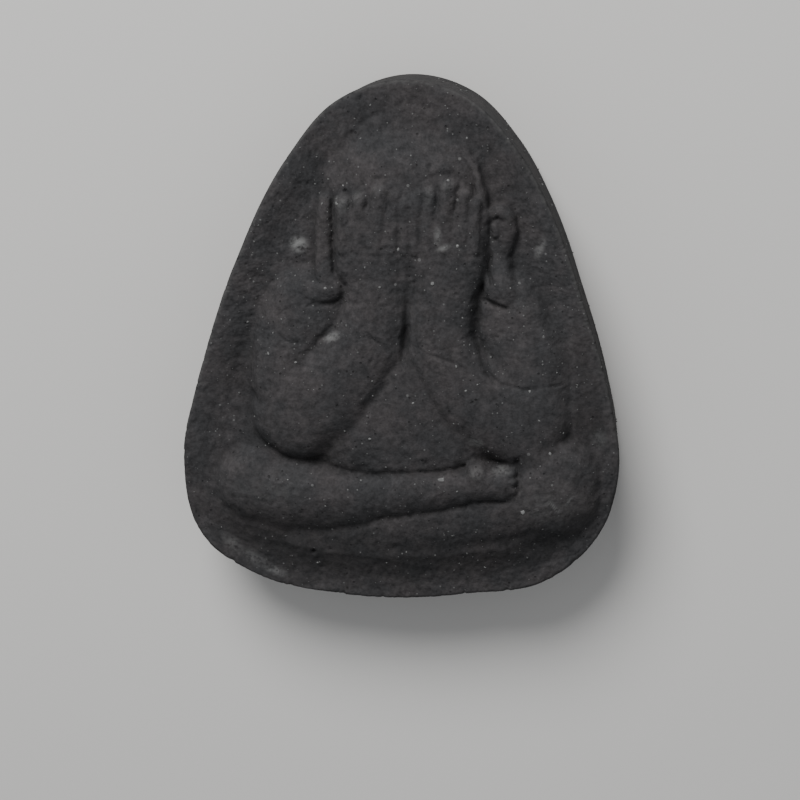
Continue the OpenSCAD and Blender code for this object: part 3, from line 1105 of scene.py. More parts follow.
class Bench:
    """Builds one material's nodes."""

    def __init__(self, name: str) -> None:
        """Starts a material with only its output.

        Args:
            name: The material's name.
        """
        self.material = bpy.data.materials.new(name)
        self.material.use_nodes = True
        self.tree = self.material.node_tree
        self.tree.nodes.clear()
        self.output = self.tree.nodes.new("ShaderNodeOutputMaterial")

    def node(self, kind: str, settings: dict[str, Any], inputs: dict[Any, Any], give: Any = 0) -> Value:
        """Adds a node.

        Args:
            kind: Type of the node.
            settings: Its properties, which are set first.
            inputs: Values or links for its sockets, by name or number.
            give: Name or number of the output that is wanted.

        Returns:
            That output.
        """
        node = self.tree.nodes.new(kind)
        for name, setting in settings.items():
            setattr(node, name, setting)
        for name, value in inputs.items():
            if isinstance(value, Value):
                self.tree.links.new(value.socket, node.inputs[name])
            else:
                node.inputs[name].default_value = value
        return Value(self, node.outputs[give])

    def millimetres(self) -> Value:
        """Object coordinates in millimetres."""
        return self.scaled(self.node("ShaderNodeTexCoord", {}, {}, "Object"), 1 / MM)

    def clouds(self, where: Value, size: float, detail: float = 3.0, shift: float = 0.0) -> Value:
        """Cloudy noise.

        Args:
            where: Coordinates in millimetres.
            size: Width of the widest clouds.
            detail: Number of finer layers over them.
            shift: How far the pattern is moved, so that two patterns differ.

        Returns:
            Noise from 0 to 1, mostly near 0.5.
        """
        moved = self.node(
            "ShaderNodeVectorMath", {"operation": "ADD"}, {0: where, 1: (shift, 0.7 * shift, -shift)}
        )
        return self.node(
            "ShaderNodeTexNoise", {"noise_dimensions": "3D"},
            {"Vector": moved, "Scale": 1 / size, "Detail": detail, "Roughness": 0.6}, "Fac",
        )

    def specks(
        self, where: Value, cell: float, chosen: float, size: float, least: float = 0.4, soft: float = 0.35
    ) -> Value:
        """Round specks in a share of random cells.

        Args:
            where: Coordinates in millimetres.
            cell: Width of a cell.
            chosen: Share of the cells that hold a speck.
            size: Radius of the largest speck, in millimetres.
            least: Radius of the smallest, as a share of the largest.
            soft: Width of the soft step at a speck's edge, as a share of its radius.

        Returns:
            The specks' strength, 1 inside them and 0 outside.
        """
        scattered = self.node(
            "ShaderNodeTexVoronoi", {"voronoi_dimensions": "3D", "feature": "F1"},
            {"Vector": where, "Scale": 1 / cell, "Randomness": 1.0}, "Distance",
        )
        lot = Value(self, scattered.socket.node.outputs["Color"])
        split = self.node("ShaderNodeSeparateColor", {}, {"Color": lot}, "Red")
        green = Value(self, split.socket.node.outputs["Green"])
        width = green * ((1 - least) * size / cell) + least * size / cell
        inside = 1 - scattered.maths("DIVIDE", scattered, width)
        return inside.between(0.0, soft) * split.above(1 - chosen)

    def painted(self, name: str) -> Value:
        """A number that paint() kept on the mesh."""
        return self.node("ShaderNodeAttribute", {"attribute_name": name}, {}, "Fac")

    def mix(self, share: Number, first: Any, second: Any) -> Value:
        """Blend of two colours.

        Args:
            share: 0 for the first colour, 1 for the second.
            first: A colour, as a Value or as three numbers.
            second: The other colour.

        Returns:
            The blended colour.
        """
        ends = [colour if isinstance(colour, Value) else (*colour, 1.0) for colour in (first, second)]
        return self.node(
            "ShaderNodeMix", {"data_type": "RGBA"}, {"Factor": share, 6: ends[0], 7: ends[1]}, 2
        )

    def scaled(self, vector: Value, by: Number) -> Value:
        """A colour or a vector times a number."""
        return self.node("ShaderNodeVectorMath", {"operation": "SCALE"}, {0: vector, "Scale": by}, "Vector")

    def finish(self, shader: dict[str, Any]) -> bpy.types.Material:
        """Puts the shader on the output.

        Args:
            shader: Values or links for its sockets, by name.

        Returns:
            The material.
        """
        surface = self.node("ShaderNodeBsdfPrincipled", {}, shader, "BSDF")
        self.tree.links.new(surface.socket, self.output.inputs["Surface"])
        return self.material


@dataclass(frozen=True)
class PowderFinish:
    """Dark pressed powder: mottled greys, pale flecks, dark pits, a fine dry grain, and painted shade read
    from the mesh.

    Colours are linear. Clouds are a row each: width in millimetres, finer layers and shift,
    and a range is the pair of noise values where they begin and where they are full. Specks
    are a row each: cell in millimetres, share of the cells and radius. Shades say how strongly
    a pattern changes the colour, rises how high it stands in units of grain_depth, and glosses
    how much smoother it is.
    """

    warm: Colour = (0.046, 0.0423, 0.0428)
    cool: Colour = (0.0337, 0.0336, 0.0349)
    dust: Colour = (0.066, 0.065, 0.064)
    pale: Colour = (0.17, 0.17, 0.167)
    mottle: Triple = (3.4, 4.0, 0.0)
    smudge: Triple = (0.8, 4.0, 11.0)
    patchy: Triple = (0.33, 3.0, 17.0)
    grain: Triple = (0.14, 2.0, 23.0)
    rubbed: Triple = (0.5, 3.0, 5.0)
    chalky: Triple = (0.3, 4.0, 8.0)
    mottle_range: Pair = (0.36, 0.64)
    rubbed_range: Pair = (0.25, 0.6)
    chalky_range: Pair = (0.3, 0.6)
    fine_flecks: Triple = (0.3, 0.16, 0.075)
    wide_flecks: Triple = (0.75, 0.1, 0.13)
    holes: Triple = (0.42, 0.2, 0.1)
    mottle_share: float = 0.75
    smudge_shade: float = 0.8
    patchy_shade: float = 1.2
    grain_shade: float = 0.8
    painted_shade_strength: float = 0.36
    wide_fleck_shade: float = 0.8
    fleck_shade: float = 0.55
    hole_shade: float = 0.45
    grain_rise: float = 0.6
    patchy_rise: float = 1.2
    fleck_rise: float = 0.5
    hole_rise: float = -1.2
    roughness: float = 0.97
    fleck_gloss: float = 0.25
    wear_gloss: float = 0.1
    specular: float = 0.25
    grain_depth: float = 0.03

    def material(self) -> bpy.types.Material:
        """Builds the finish from the inside out: mottle, painted shade, wear, flecks, pits, then the grain.

        Returns:
            The material.
        """
        bench = Bench("pressed_powder")
        where = bench.millimetres()
        mottle, smudge, patchy, grain, rubbed, chalky = (
            bench.clouds(where, *row)
            for row in (self.mottle, self.smudge, self.patchy, self.grain, self.rubbed, self.chalky)
        )
        tint = mottle * self.mottle_share + smudge * (1 - self.mottle_share)
        colour = bench.mix(tint.between(*self.mottle_range), self.cool, self.warm)
        light = (smudge - 0.5) * self.smudge_shade + (patchy - 0.5) * self.patchy_shade
        light = light + (grain - 0.5) * self.grain_shade + 1.0
        # Painted shade: darker in creases and hollows, in the strip below the legs, beside the right elbow,
        # and over the whole wall and back
        colour = bench.scaled(colour, light * (1 - bench.painted("painted_shade") * self.painted_shade_strength))
        wear = bench.painted("worn") * rubbed.between(*self.rubbed_range)
        chalk = bench.painted("chalk") * chalky.between(*self.chalky_range)
        colour = bench.mix(chalk, bench.mix(wear, colour, self.dust), self.pale)
        wide_flecks = bench.specks(where, *self.wide_flecks) * self.wide_fleck_shade
        flecks = bench.specks(where, *self.fine_flecks).most(wide_flecks)
        colour = bench.mix(flecks * self.fleck_shade, colour, self.pale)
        holes = bench.specks(where, *self.holes)
        colour = bench.scaled(colour, 1 - holes * self.hole_shade)
        height = grain * self.grain_rise + patchy * self.patchy_rise
        height = height + flecks * self.fleck_rise + holes * self.hole_rise
        relief = {"Strength": 1.0, "Distance": self.grain_depth * MM, "Height": height}
        return bench.finish({
            "Base Color": colour,
            "Roughness": self.roughness - flecks * self.fleck_gloss - wear * self.wear_gloss,
            "Specular IOR Level": self.specular,
            "Normal": bench.node("ShaderNodeBump", {}, relief, "Normal"),
        })


@dataclass(frozen=True)
class GrainFinish:
    """Pale mineral grains, each of its own tone between grey and white.

    veil is the width and the finer layers of the clouds over them.
    """

    grey: Colour = (0.05, 0.05, 0.049)
    white: Colour = (0.2, 0.2, 0.196)
    veil: Pair = (0.12, 2.0)
    veil_shade: float = 0.6
    least_tone: float = 0.7
    roughness: float = 0.75
    veil_gloss: float = 0.25

    def material(self) -> bpy.types.Material:
        """Builds the finish from each grain's tone and a cloudy veil.

        Returns:
            The material.
        """
        bench = Bench("mineral_grain")
        veil = bench.clouds(bench.millimetres(), *self.veil)
        tone = bench.painted("tone") * (veil * self.veil_shade + self.least_tone)
        return bench.finish({
            "Base Color": bench.mix(tone, self.grey, self.white),
            "Roughness": self.roughness - veil * self.veil_gloss,
        })


@dataclass(frozen=True)
class TabletShape:
    """How the tablet's mesh is laid out, in millimetres.

    cells is the number of cells along each side of the front's grid, back_step the number of
    them that one cell of the back spans, and across and up say where they are smaller, as the
    middle, width and gain of spaced(). front_round and back_round are the edges' radii, of
    which the front's sways and has nicks, where hills of nick_size lie between the pair
    nick_hills. mean_radius turns angles into millimetres around the edge. draft is how far
    the wall leans in at the back. The wall's hills are drawn at wall_squeeze of their height,
    which stretches them down it, and lowered by wall_sunk, which keeps them inside the outline.
    """

    cells: int = 280
    back_step: int = 4
    across: Triple = (0.04, 0.4, 0.5)
    up: Triple = (0.4, 0.3, 0.5)
    front_round: float = 0.2
    sway: float = 0.35
    sway_size: float = 2.2
    nick: float = 0.9
    nick_size: float = 0.9
    nick_hills: Pair = (0.35, 0.8)
    back_round: float = 0.35
    round_rows: int = 3
    wall_rows: int = 6
    mean_radius: float = 14.0
    draft: float = 0.1
    wall_roughness: float = 0.03
    wall_hill_size: float = 1.6
    wall_squeeze: float = 0.35
    wall_fine: float = 0.6
    wall_fine_size: float = 0.5
    wall_fine_squeeze: float = 1.7
    wall_sunk: float = 0.8
    back_roughness: float = 0.03
    back_hill_size: float = 2.8
    back_flat_out: Pair = (0.97, 1.0)
    back_margin: float = 0.3


@dataclass(frozen=True)
class WearAndShade:
    """Where the powder is rubbed pale, and where shade is painted darker.

    Painted shade is darker where the face lies shade_from_depth below its own blurred heights,
    and darkest shade_depth_range lower. It is also painted in the trough, the strip around the
    base below the legs, and in the dip, the ground beside the right elbow. Each pair is where one
    of their sides starts and where it ends: in and out are shares of the way to the edge, the
    rest are millimetres.
    """

    blur: int = 40
    shade_from_depth: float = 0.03
    shade_depth_range: float = 0.4
    trough_in: Pair = (0.72, 0.82)
    trough_out: Pair = (0.88, 0.98)
    trough_below: Pair = (9.5, 13.0)
    dip_beside: Pair = (10.4, 11.2)
    dip_out: Pair = (0.93, 0.99)
    dip_bottom: Pair = (-7.5, -5.5)
    dip_top: Pair = (0.0, 3.0)
    dip_strength: float = 0.7
    rim_out: Pair = (0.99, 1.0)
    rim_wear: float = 0.3
    wall_wear: float = 0.75
    wall_fade: float = 0.35
    base_wear: float = 0.4
    base_top: Pair = (-8.0, -2.0)

    def painted_shade(self, share: Array, x: Array, y: Array, z: Array) -> Array:
        """Strength of the painted shade in hollows, in the trough and in the dip.

        Args:
            share: Share of the way to the edge.
            x: Across the drawing, in millimetres.
            y: Up the drawing, in millimetres.
            z: Height above the rim, in millimetres.

        Returns:
            Strengths from 0 to 1.
        """
        # Painted shade in creases and hollows: darker where the face lies below its own blurred heights
        depth = np.clip((blurred(z, self.blur) - z - self.shade_from_depth) / self.shade_depth_range, 0, 1)
        trough = ramp(*self.trough_in, share) * (1 - ramp(*self.trough_out, share))
        trough = trough * ramp(*self.trough_below, -y)
        dip = ramp(*self.dip_beside, x) * (1 - ramp(*self.dip_out, share)) * ramp(*self.dip_bottom, y)
        dip = self.dip_strength * dip * (1 - ramp(*self.dip_top, y))
        return np.maximum(depth, np.maximum(trough, dip))

    def at_height(self, y: Array) -> Array:
        """How much edges are worn: base_wear at the base, and all of it higher up."""
        return self.base_wear + (1 - self.base_wear) * ramp(*self.base_top, y)

    def face(self, share: Array, y: Array) -> Array:
        """How worn the pressed face is, only along its very edge."""
        return ramp(*self.rim_out, share) * self.rim_wear * self.at_height(y)

    def side(self, row: int, y: Array) -> Array:
        """How worn a row down the side is, where row 0 is next to the face."""
        return max(self.wall_wear - self.wall_fade * row, 0.0) * self.at_height(y)


@dataclass
class PressedTablet:
    """The tablet: its pressed face, rounded edges, wall and flat back, as one closed mesh."""

    drawing: Drawing
    relief: Relief
    shape: TabletShape = TabletShape()
    wear: WearAndShade = WearAndShade()
    edge: Unevenness = Unevenness(41)
    patch_reach: float = 1.3
    patches: Rows = (
        # x, y, half width, half height, turn in degrees, strength
        (-6.3, 5.95, 0.55, 0.5, 0, 1.0),
        (-4.1, 0.45, 0.6, 0.25, 25, 0.8),
        (4.8, -6.0, 0.45, 0.35, -20, 0.7),
        (12.4, -5.9, 0.5, 0.6, 0, 0.3),
        (8.5, 6.0, 0.25, 0.7, -20, 0.6),
        (4.9, -7.9, 0.45, 0.4, 0, 0.4),
        (6.4, -7.8, 0.6, 0.22, 5, 0.45),
        (2.4, 6.9, 0.22, 0.55, 0, 0.5),
        (2.8, 6.2, 0.5, 0.18, 20, 0.6),
        (-11.0, -13.8, 0.9, 0.5, -40, 0.3),
        (-9.6, -14.7, 0.9, 0.5, -30, 0.35),
        (-8.3, -15.5, 0.9, 0.35, -20, 0.5),
        (-8.2, -9.6, 2.4, 1.4, 10, 0.12),
        (9.4, -10.0, 2.0, 1.6, 0, 0.15),
        (-3.4, 8.7, 0.5, 0.45, 0, 0.3),
        (-2.4, 9.0, 0.35, 0.5, 0, 0.15),
        (-1.1, 9.5, 0.45, 0.4, 0, 0.12),
        (3.0, 9.9, 0.45, 0.3, 0, 0.25),
        (1.9, 9.3, 0.3, 0.6, 0, 0.15),
        (9.7, -10.0, 0.6, 0.1, -50, 0.8),
        (10.6, -9.7, 0.45, 0.1, 50, 0.8),
        (8.3, 10.4, 0.22, 1.3, 30, 1.0),
        (9.5, 8.2, 0.2, 0.5, 25, 0.6),
    )

    def grid(self, step: int = 1) -> DiskGrid:
        """The front's grid, or a coarser one with every so many of its rows and columns."""
        across, up = (spaced(self.shape.cells, *where) for where in (self.shape.across, self.shape.up))
        return DiskGrid(across[::step], up[::step])

    def edge_inset(self, angle: Array) -> Array:
        """Radius of the front edge's rounding, which sways along the edge and has small nicks.

        Args:
            angle: Angle of each point around the edge.

        Returns:
            Radii in millimetres.
        """
        shape = self.shape
        x, y = shape.mean_radius * np.cos(angle), shape.mean_radius * np.sin(angle)
        nicks = ramp(*shape.nick_hills, self.edge.layered(x, y, shape.nick_size, 3))
        sway = self.edge.layered(x + 50, y, shape.sway_size, 3)
        return shape.front_round * (1 + shape.sway * sway + shape.nick * nicks)

    def front(self) -> tuple[DiskGrid, Array, Array, Array]:
        """The pressed face's grid.

        A grid place at share r of the disk lies at r times the inner edge's radius, which is
        the outline's less the rounding.

        Returns:
            The grid, and x, y and height above the rim of its points.
        """
        grid = self.grid()
        inner = self.drawing.outline.radius(grid.angle) - self.edge_inset(grid.angle)
        x = grid.share * inner * np.cos(grid.angle)
        y = grid.share * inner * np.sin(grid.angle)
        z = self.relief.height(x.ravel(), y.ravel()).reshape(x.shape)
        return grid, x, y, z

    def wall_hills(self, along: Array, z: Array) -> Array:
        """Unevenness of the wall: hills stretched down it, and finer ones over them.

        Args:
            along: Way around the wall, in millimetres.
            z: Height above the rim, in millimetres.

        Returns:
            Heights of the hills, mostly below 0.
        """
        shape = self.shape
        wide = self.edge.layered(along, z * shape.wall_squeeze + 20, shape.wall_hill_size, 3)
        fine = self.edge.at(along * shape.wall_fine_squeeze, z, shape.wall_fine_size)
        return wide + shape.wall_fine * fine - shape.wall_sunk

    def side_rows(self, edge_z: Array, angle: Array) -> list[tuple[Array, Array]]:
        """Rows down the edge, the wall and the back's edge.

        The roundings are quarter circles. The wall leans in evenly and has low hills.

        Args:
            edge_z: Height above the rim around the pressed face's edge.
            angle: Angle of each point around it.

        Returns:
            Distance from the middle and height above the rim, a pair for each row.
        """
        shape = self.shape
        outer = self.drawing.outline.radius(angle)
        inset = self.edge_inset(angle)
        quarter = np.linspace(0, math.pi / 2, shape.round_rows + 1)
        rows = []
        for turn in quarter[1:]:
            rows.append((outer - inset * (1 - math.sin(turn)), edge_z - inset * (1 - math.cos(turn))))
        start, end = edge_z - inset, shape.back_round - self.drawing.rim
        for k in range(1, shape.wall_rows + 1):
            down = k / (shape.wall_rows + 1)
            z = start + (end - start) * down
            hills = shape.wall_roughness * self.wall_hills(angle * shape.mean_radius, z)
            rows.append((outer - shape.draft * down + hills, z))
        for turn in quarter:
            rows.append((
                outer - shape.draft - shape.back_round * (1 - math.cos(turn)),
                np.full(angle.shape, end - shape.back_round * math.sin(turn)),
            ))
        return rows

    def back(self, radius: Array, angle: Array, loop: Array, first: int) -> tuple[Array, Array, Triangles]:
        """The back: a coarser grid, set into the last row of the side.

        Args:
            radius: Distance from the middle of the side's last row.
            angle: Angle of its points.
            loop: Their numbers.
            first: Number that the back's first point gets.

        Returns:
            Points in metres, the grid's cells, and the triangles that join it to the side.
        """
        shape, step = self.shape, self.shape.back_step
        grid = self.grid(step)
        start = np.argmin(angle)
        around = np.concatenate([np.roll(angle, -start), [np.roll(angle, -start)[0] + math.tau]])
        reach = np.concatenate([np.roll(radius, -start), [radius[start]]])
        wrapped = np.where(grid.angle < around[0], grid.angle + math.tau, grid.angle)
        inner = grid.share * (np.interp(wrapped, around, reach) - shape.back_margin)
        x, y = inner * np.cos(grid.angle), inner * np.sin(grid.angle)
        hills = np.clip(self.edge.layered(x - 60, y + 40, shape.back_hill_size, 4) + 0.1, 0, None)
        flat = ramp(*shape.back_flat_out, grid.share)
        z = shape.back_roughness * hills * (1 - flat) - self.drawing.rim
        inner_loop = grid.loop() + first
        joining: Triangles = []
        for k in range(len(inner_loop)):
            here, after = int(inner_loop[k]), int(inner_loop[(k + 1) % len(inner_loop)])
            outer = [int(loop[(k * step + i) % len(loop)]) for i in range(step + 1)]
            half = step // 2
            joining += [[outer[i], here, outer[i + 1]] for i in range(half)]
            joining.append([outer[half], here, after])
            joining += [[outer[i], after, outer[i + 1]] for i in range(half, step)]
        return self.drawing.place(x, y, z), grid.cells()[:, ::-1] + first, joining

    def build(self) -> bpy.types.Object:
        """Makes the closed mesh and paints where it is worn and chalky, and where shade is painted darker.

        Returns:
            The tablet, in place.
        """
        grid, x, y, z = self.front()
        loop = grid.loop()
        angle, edge_y = grid.angle.ravel()[loop], y.ravel()[loop]
        points = [self.drawing.place(x, y, z)]
        faces = [grid.cells()]
        worn = [self.wear.face(grid.share, y).ravel()]
        above, count = loop, len(points[0])
        rows = self.side_rows(z.ravel()[loop], angle)
        for k, (radius, height) in enumerate(rows):
            row = np.arange(len(loop)) + count
            points.append(self.drawing.place(radius * np.cos(angle), radius * np.sin(angle), height))
            faces.append(band(above, row))
            worn.append(self.wear.side(k, edge_y))
            above, count = row, count + len(loop)
        back, cells, joining = self.back(rows[-1][0], angle, above, count)
        quads = np.concatenate([*faces, cells]).tolist()
        tablet = mesh_object("tablet", np.concatenate([*points, back]), quads + joining, smooth=True)
        paint(tablet, "worn", np.concatenate(worn))
        paint(tablet, "chalk", self.chalk(x.ravel(), y.ravel()))
        # Painted shade for the finish: creases and hollows, the strip below the legs, beside the right elbow,
        # and all of the wall and back (rest=1.0)
        paint(tablet, "painted_shade", self.wear.painted_shade(grid.share, x, y, z).ravel(), rest=1.0)
        log.info("tablet: %d points, %d faces", len(tablet.data.vertices), len(tablet.data.polygons))
        return tablet

    def chalk(self, x: Array, y: Array) -> Array:
        """Strength of the pale patches, each fading out past the edge of its turned ellipse.

        It is strength × (patch_reach - distance), with the distance in half widths.

        Args:
            x: Across the drawing, in millimetres.
            y: Up the drawing, in millimetres.

        Returns:
            Strengths from 0 to 1.
        """
        total = np.zeros(x.shape)
        for at_x, at_y, half_x, half_y, turn, strength in self.patches:
            c, s = math.cos(math.radians(turn)), math.sin(math.radians(turn))
            u = ((x - at_x) * c + (y - at_y) * s) / half_x
            v = ((y - at_y) * c - (x - at_x) * s) / half_y
            total = np.maximum(total, strength * np.clip(self.patch_reach - np.hypot(u, v), 0, 1))
        return total

    def dress(self, tablet: bpy.types.Object) -> None:
        """Gives the tablet its finish and ties it to the CAD model.

        Args:
            tablet: The built tablet.
        """
        tablet.data.materials.append(PowderFinish().material())
        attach(tablet, BODY)
        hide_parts(TABLET_NODE)


class Lot(NamedTuple):
    """Random numbers least + extra × u^power, with u evenly spread from 0 to 1."""

    least: float
    extra: float
    power: float

    def take(self, rng: np.random.Generator, count: int) -> Array:
        """Draws count numbers."""
        return self.least + self.extra * rng.uniform(0, 1, count) ** self.power


@dataclass
class MineralGrains:
    """Pale grains, half sunk in the face and the wall.

    marked holds the larger grains, a row each: x, y, half width and tone. The rest are
    scattered: farthest is the outermost share of the way to the edge, and wall_span the range
    of depths on the wall as shares of the rim's height. A grain's middle lies sunk half widths
    below the face, or wall_inset millimetres inside the outline. Each grain is a ball of a few
    faces, with its points pushed in or out by lumps and its half widths drawn from stretch.
    """

    drawing: Drawing
    relief: Relief
    seed: int = 77
    face_grains: int = 540
    wall_grains: int = 110
    around: int = 7
    rings: int = 3
    face_sizes: Lot = Lot(0.035, 0.045, 2.5)
    face_tones: Lot = Lot(0.05, 0.5, 3)
    wall_sizes: Lot = Lot(0.05, 0.05, 2)
    wall_tones: Lot = Lot(0.1, 0.4, 2)
    lumps: Pair = (0.75, 1.15)
    stretch: tuple[Pair, ...] = ((0.8, 1.3), (0.65, 1.0), (0.5, 0.8))
    marked_size: float = 0.85
    farthest: float = 0.985
    sunk: float = 0.25
    wall_inset: float = 0.06
    wall_span: Pair = (0.2, 0.92)
    marked: Rows = (
        (7.8, -10.4, 0.24, 1.0), (0.0, 6.0, 0.15, 0.7), (3.6, 6.3, 0.15, 0.8), (2.1, 4.0, 0.2, 0.65),
        (3.0, 10.2, 0.15, 0.7), (-6.4, -1.2, 0.14, 0.8), (-8.1, -0.7, 0.12, 0.7), (0.9, -3.6, 0.11, 0.7),
        (-1.8, -6.0, 0.15, 0.75), (9.4, -6.6, 0.15, 0.6), (2.7, -8.5, 0.26, 0.8), (3.7, -9.1, 0.1, 0.6),
        (-4.5, 3.5, 0.13, 0.8), (-3.4, 9.7, 0.1, 0.8), (-3.7, 8.7, 0.13, 0.5), (-4.7, 8.6, 0.1, 0.6),
        (-4.4, 10.0, 0.1, 0.5), (-2.4, -8.8, 0.12, 0.6), (-7.0, -8.8, 0.1, 0.7), (-4.6, -10.4, 0.1, 0.5),
        (-7.8, 0.6, 0.08, 0.7), (8.1, -2.6, 0.11, 0.8), (9.7, -1.5, 0.09, 0.8), (4.9, -2.2, 0.1, 0.7),
        (4.2, -2.6, 0.1, 0.7), (3.6, -1.1, 0.11, 0.6), (3.9, 1.9, 0.11, 0.6), (8.7, -4.4, 0.1, 0.5),
        (5.6, -6.6, 0.1, 0.5), (-1.6, -2.2, 0.09, 0.7), (-1.6, -3.2, 0.09, 0.6), (-5.2, -2.8, 0.08, 0.6),
        (5.4, -14.7, 0.11, 0.7), (0.4, -13.7, 0.09, 0.6), (-5.4, -14.8, 0.1, 0.5), (11.7, -11.9, 0.09, 0.5),
        (-2.0, 4.9, 0.1, 0.5), (-1.1, 3.7, 0.1, 0.5), (-2.4, 12.5, 0.08, 0.6), (4.0, 12.6, 0.09, 0.6),
        (2.7, 14.5, 0.08, 0.4), (-1.8, 14.5, 0.09, 0.5), (-9.6, 1.0, 0.12, 0.4), (-9.2, -5.0, 0.08, 0.6),
    )

    def pebble(self) -> tuple[Array, list[list[int]]]:
        """One ball of radius 1: rings of points between two poles.

        Returns:
            Its points, and its faces seen anticlockwise from outside.
        """
        tilt = np.linspace(0, math.pi, self.rings + 2)[1:-1]
        turn = np.arange(self.around) * math.tau / self.around
        ring = np.stack([
            np.outer(np.sin(tilt), np.cos(turn)),
            np.outer(np.sin(tilt), np.sin(turn)),
            np.outer(np.cos(tilt), np.ones(self.around)),
        ], axis=-1).reshape(-1, 3)
        points = np.vstack([[0, 0, 1], ring, [0, 0, -1]])
        loops = 1 + np.arange(self.rings * self.around).reshape(self.rings, self.around)
        last = len(points) - 1
        faces = np.concatenate([band(a, b) for a, b in zip(loops[:-1], loops[1:])]).tolist()
        faces += [[0, int(a), int(b)] for a, b in zip(loops[0], np.roll(loops[0], -1))]
        faces += [[last, int(b), int(a)] for a, b in zip(loops[-1], np.roll(loops[-1], -1))]
        return points, faces

    def places(self) -> tuple[Array, Array, Array]:
        """Where the grains lie.

        Face grains lie at a random share √u of the way to the edge, so that they are evenly
        spread, and wall grains at a random height just inside the wall.

        Returns:
            Middles in metres, half widths in millimetres and tones.
        """
        rng = np.random.default_rng(self.seed)
        outline, count, wall_count = self.drawing.outline, self.face_grains, self.wall_grains
        angle = rng.uniform(0, math.tau, count)
        reach = outline.radius(angle) * self.farthest * np.sqrt(rng.uniform(0, 1, count))
        marked = np.array(self.marked)
        x = np.concatenate([marked[:, 0], reach * np.cos(angle)])
        y = np.concatenate([marked[:, 1], reach * np.sin(angle)])
        size = np.concatenate([marked[:, 2] * self.marked_size, self.face_sizes.take(rng, count)])
        tone = np.concatenate([marked[:, 3], self.face_tones.take(rng, count)])
        face = self.drawing.place(x, y, self.relief.height(x, y) - self.sunk * size)
        turn = rng.uniform(0, math.tau, wall_count)
        out = outline.radius(turn) - self.wall_inset
        down = -self.drawing.rim * rng.uniform(*self.wall_span, wall_count)
        wall = self.drawing.place(out * np.cos(turn), out * np.sin(turn), down)
        size = np.concatenate([size, self.wall_sizes.take(rng, wall_count)])
        tone = np.concatenate([tone, self.wall_tones.take(rng, wall_count)])
        return np.vstack([face, wall]), size, tone

    def build(self) -> bpy.types.Object:
        """Makes all the grains as one joined mesh.

        Each grain is the pebble with its points pushed in or out, stretched, turned about the
        upright by a random angle and moved to its place.

        Returns:
            The grains, in place.
        """
        points, faces = self.pebble()
        middles, sizes, tones = self.places()
        rng = np.random.default_rng(self.seed + 1)
        count = len(sizes)
        shapes = points[None] * rng.uniform(*self.lumps, (count, len(points), 1))
        shapes = shapes * np.stack([rng.uniform(*pair, count) for pair in self.stretch], axis=1)[:, None]
        turn = rng.uniform(0, math.pi, count)
        c, s = np.cos(turn)[:, None], np.sin(turn)[:, None]
        turned = np.stack([
            c * shapes[..., 0] - s * shapes[..., 1],
            s * shapes[..., 0] + c * shapes[..., 1],
            shapes[..., 2],
        ], axis=-1)
        placed = middles[:, None] + turned * (sizes * MM)[:, None, None]
        starts = np.arange(count) * len(points)
        all_faces = [[corner + int(start) for corner in face] for start in starts for face in faces]
        grains = mesh_object("mineral_grains", placed.reshape(-1, 3), all_faces, smooth=False)
        paint(grains, "tone", np.repeat(tones, len(points)))
        log.info("mineral_grains: %d grains", count)
        return grains

    def dress(self, grains: bpy.types.Object) -> None:
        """Gives the grains their finish and ties them to the CAD model.

        Args:
            grains: The built grains.
        """
        grains.data.materials.append(GrainFinish().material())
        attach(grains, BODY)


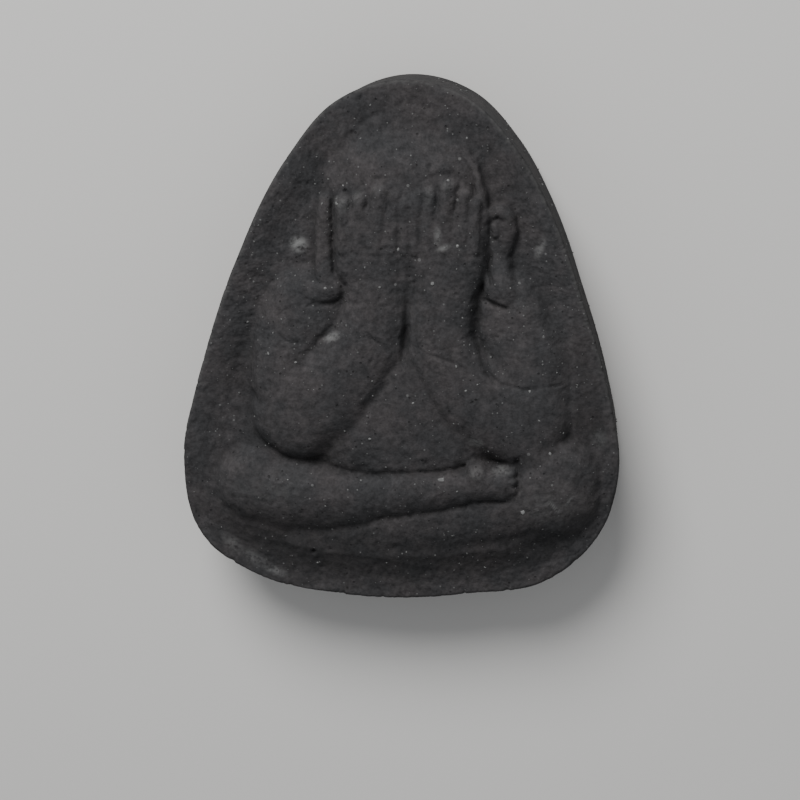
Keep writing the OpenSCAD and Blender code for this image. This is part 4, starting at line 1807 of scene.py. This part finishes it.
@dataclass
class Studio:
    """Pale floor, soft light from the upper left, and the camera at the photo's angle.

    The camera looks at the drawing's point (target_x, target_y) on the rim's plane from
    distance, in millimetres, tilt degrees off the upright towards turn degrees anticlockwise
    of +X, with a lens for a square picture. The light's distance and size, near_clip and
    floor_half are in metres, and floor_gap is in millimetres.
    """

    drawing: Drawing
    target_x: float = 0.0
    target_y: float = -3.67
    distance: float = 107.6
    tilt: float = 16.0
    turn: float = 68.0
    lens: float = 77.76
    near_clip: float = 0.005
    key_from: Triple = (-0.25, 0.84, 0.7)
    key_distance: float = 0.3
    key_size: float = 0.16
    key_power: float = 1.07
    surround: Colour = (0.95, 0.97, 1.0)
    surround_strength: float = 0.37
    floor_colour: Colour = (0.66, 0.65, 0.63)
    floor_roughness: float = 0.9
    floor_half: float = 1.5
    floor_gap: float = 0.01

    def floor(self) -> None:
        """A wide plane just under the tablet's back."""
        half = self.floor_half
        corners = np.array([[-half, -half, 0], [half, -half, 0], [half, half, 0], [-half, half, 0]])
        corners[:, 2] = -self.floor_gap * MM
        floor = mesh_object("floor", corners, [[0, 1, 2, 3]], smooth=False)
        pale = {"Base Color": (*self.floor_colour, 1.0), "Roughness": self.floor_roughness}
        floor.data.materials.append(Bench("pale_floor").finish(pale))

    def lights(self) -> None:
        """One large soft light, and an even pale surround."""
        key = bpy.data.lights.new("key", "AREA")
        key.shape = "DISK"
        key.size = self.key_size
        key.energy = self.key_power
        lamp = bpy.data.objects.new("key", key)
        way = Vector(self.key_from).normalized()
        lamp.location = way * self.key_distance
        lamp.rotation_euler = way.to_track_quat("Z", "Y").to_euler()
        bpy.context.scene.collection.objects.link(lamp)
        world = bpy.data.worlds.new("surround")
        world.use_nodes = True
        background = world.node_tree.nodes["Background"]
        background.inputs["Color"].default_value = (*self.surround, 1.0)
        background.inputs["Strength"].default_value = self.surround_strength
        bpy.context.scene.world = world

    def camera(self) -> None:
        """The camera, upright along +Y."""
        target = Vector(self.drawing.place(self.target_x, self.target_y, 0.0)[0])
        tilt, turn = math.radians(self.tilt), math.radians(self.turn)
        way = Vector((math.sin(tilt) * math.cos(turn), math.sin(tilt) * math.sin(turn), math.cos(tilt)))
        lens = bpy.data.cameras.new("camera")
        lens.lens = self.lens
        lens.clip_start = self.near_clip
        camera = bpy.data.objects.new("camera", lens)
        camera.location = target + way * self.distance * MM
        up = Vector((0, 1, 0))
        side = up.cross(way).normalized()
        above = way.cross(side)
        camera.rotation_euler = Matrix((side, above, way)).transposed().to_euler()
        bpy.context.scene.collection.objects.link(camera)
        bpy.context.scene.camera = camera

    def set_up(self) -> None:
        """Floor, lights and camera."""
        self.floor()
        self.lights()
        self.camera()
        log.info("studio: lens %.1f mm at %.0f mm", self.lens, self.distance)


def main() -> None:
    """Builds the studio, the tablet and its grains."""
    logging.basicConfig(level=logging.INFO, format="%(name)s %(message)s")
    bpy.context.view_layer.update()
    low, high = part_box(TABLET_NODE)
    drawing = Drawing(Outline(), np.array(low), np.array(high))
    relief = Relief(drawing.outline)
    Studio(drawing).set_up()
    tablet = PressedTablet(drawing, relief)
    tablet.dress(tablet.build())
    grains = MineralGrains(drawing, relief)
    grains.dress(grains.build())


if __name__ == "__main__":
    main()
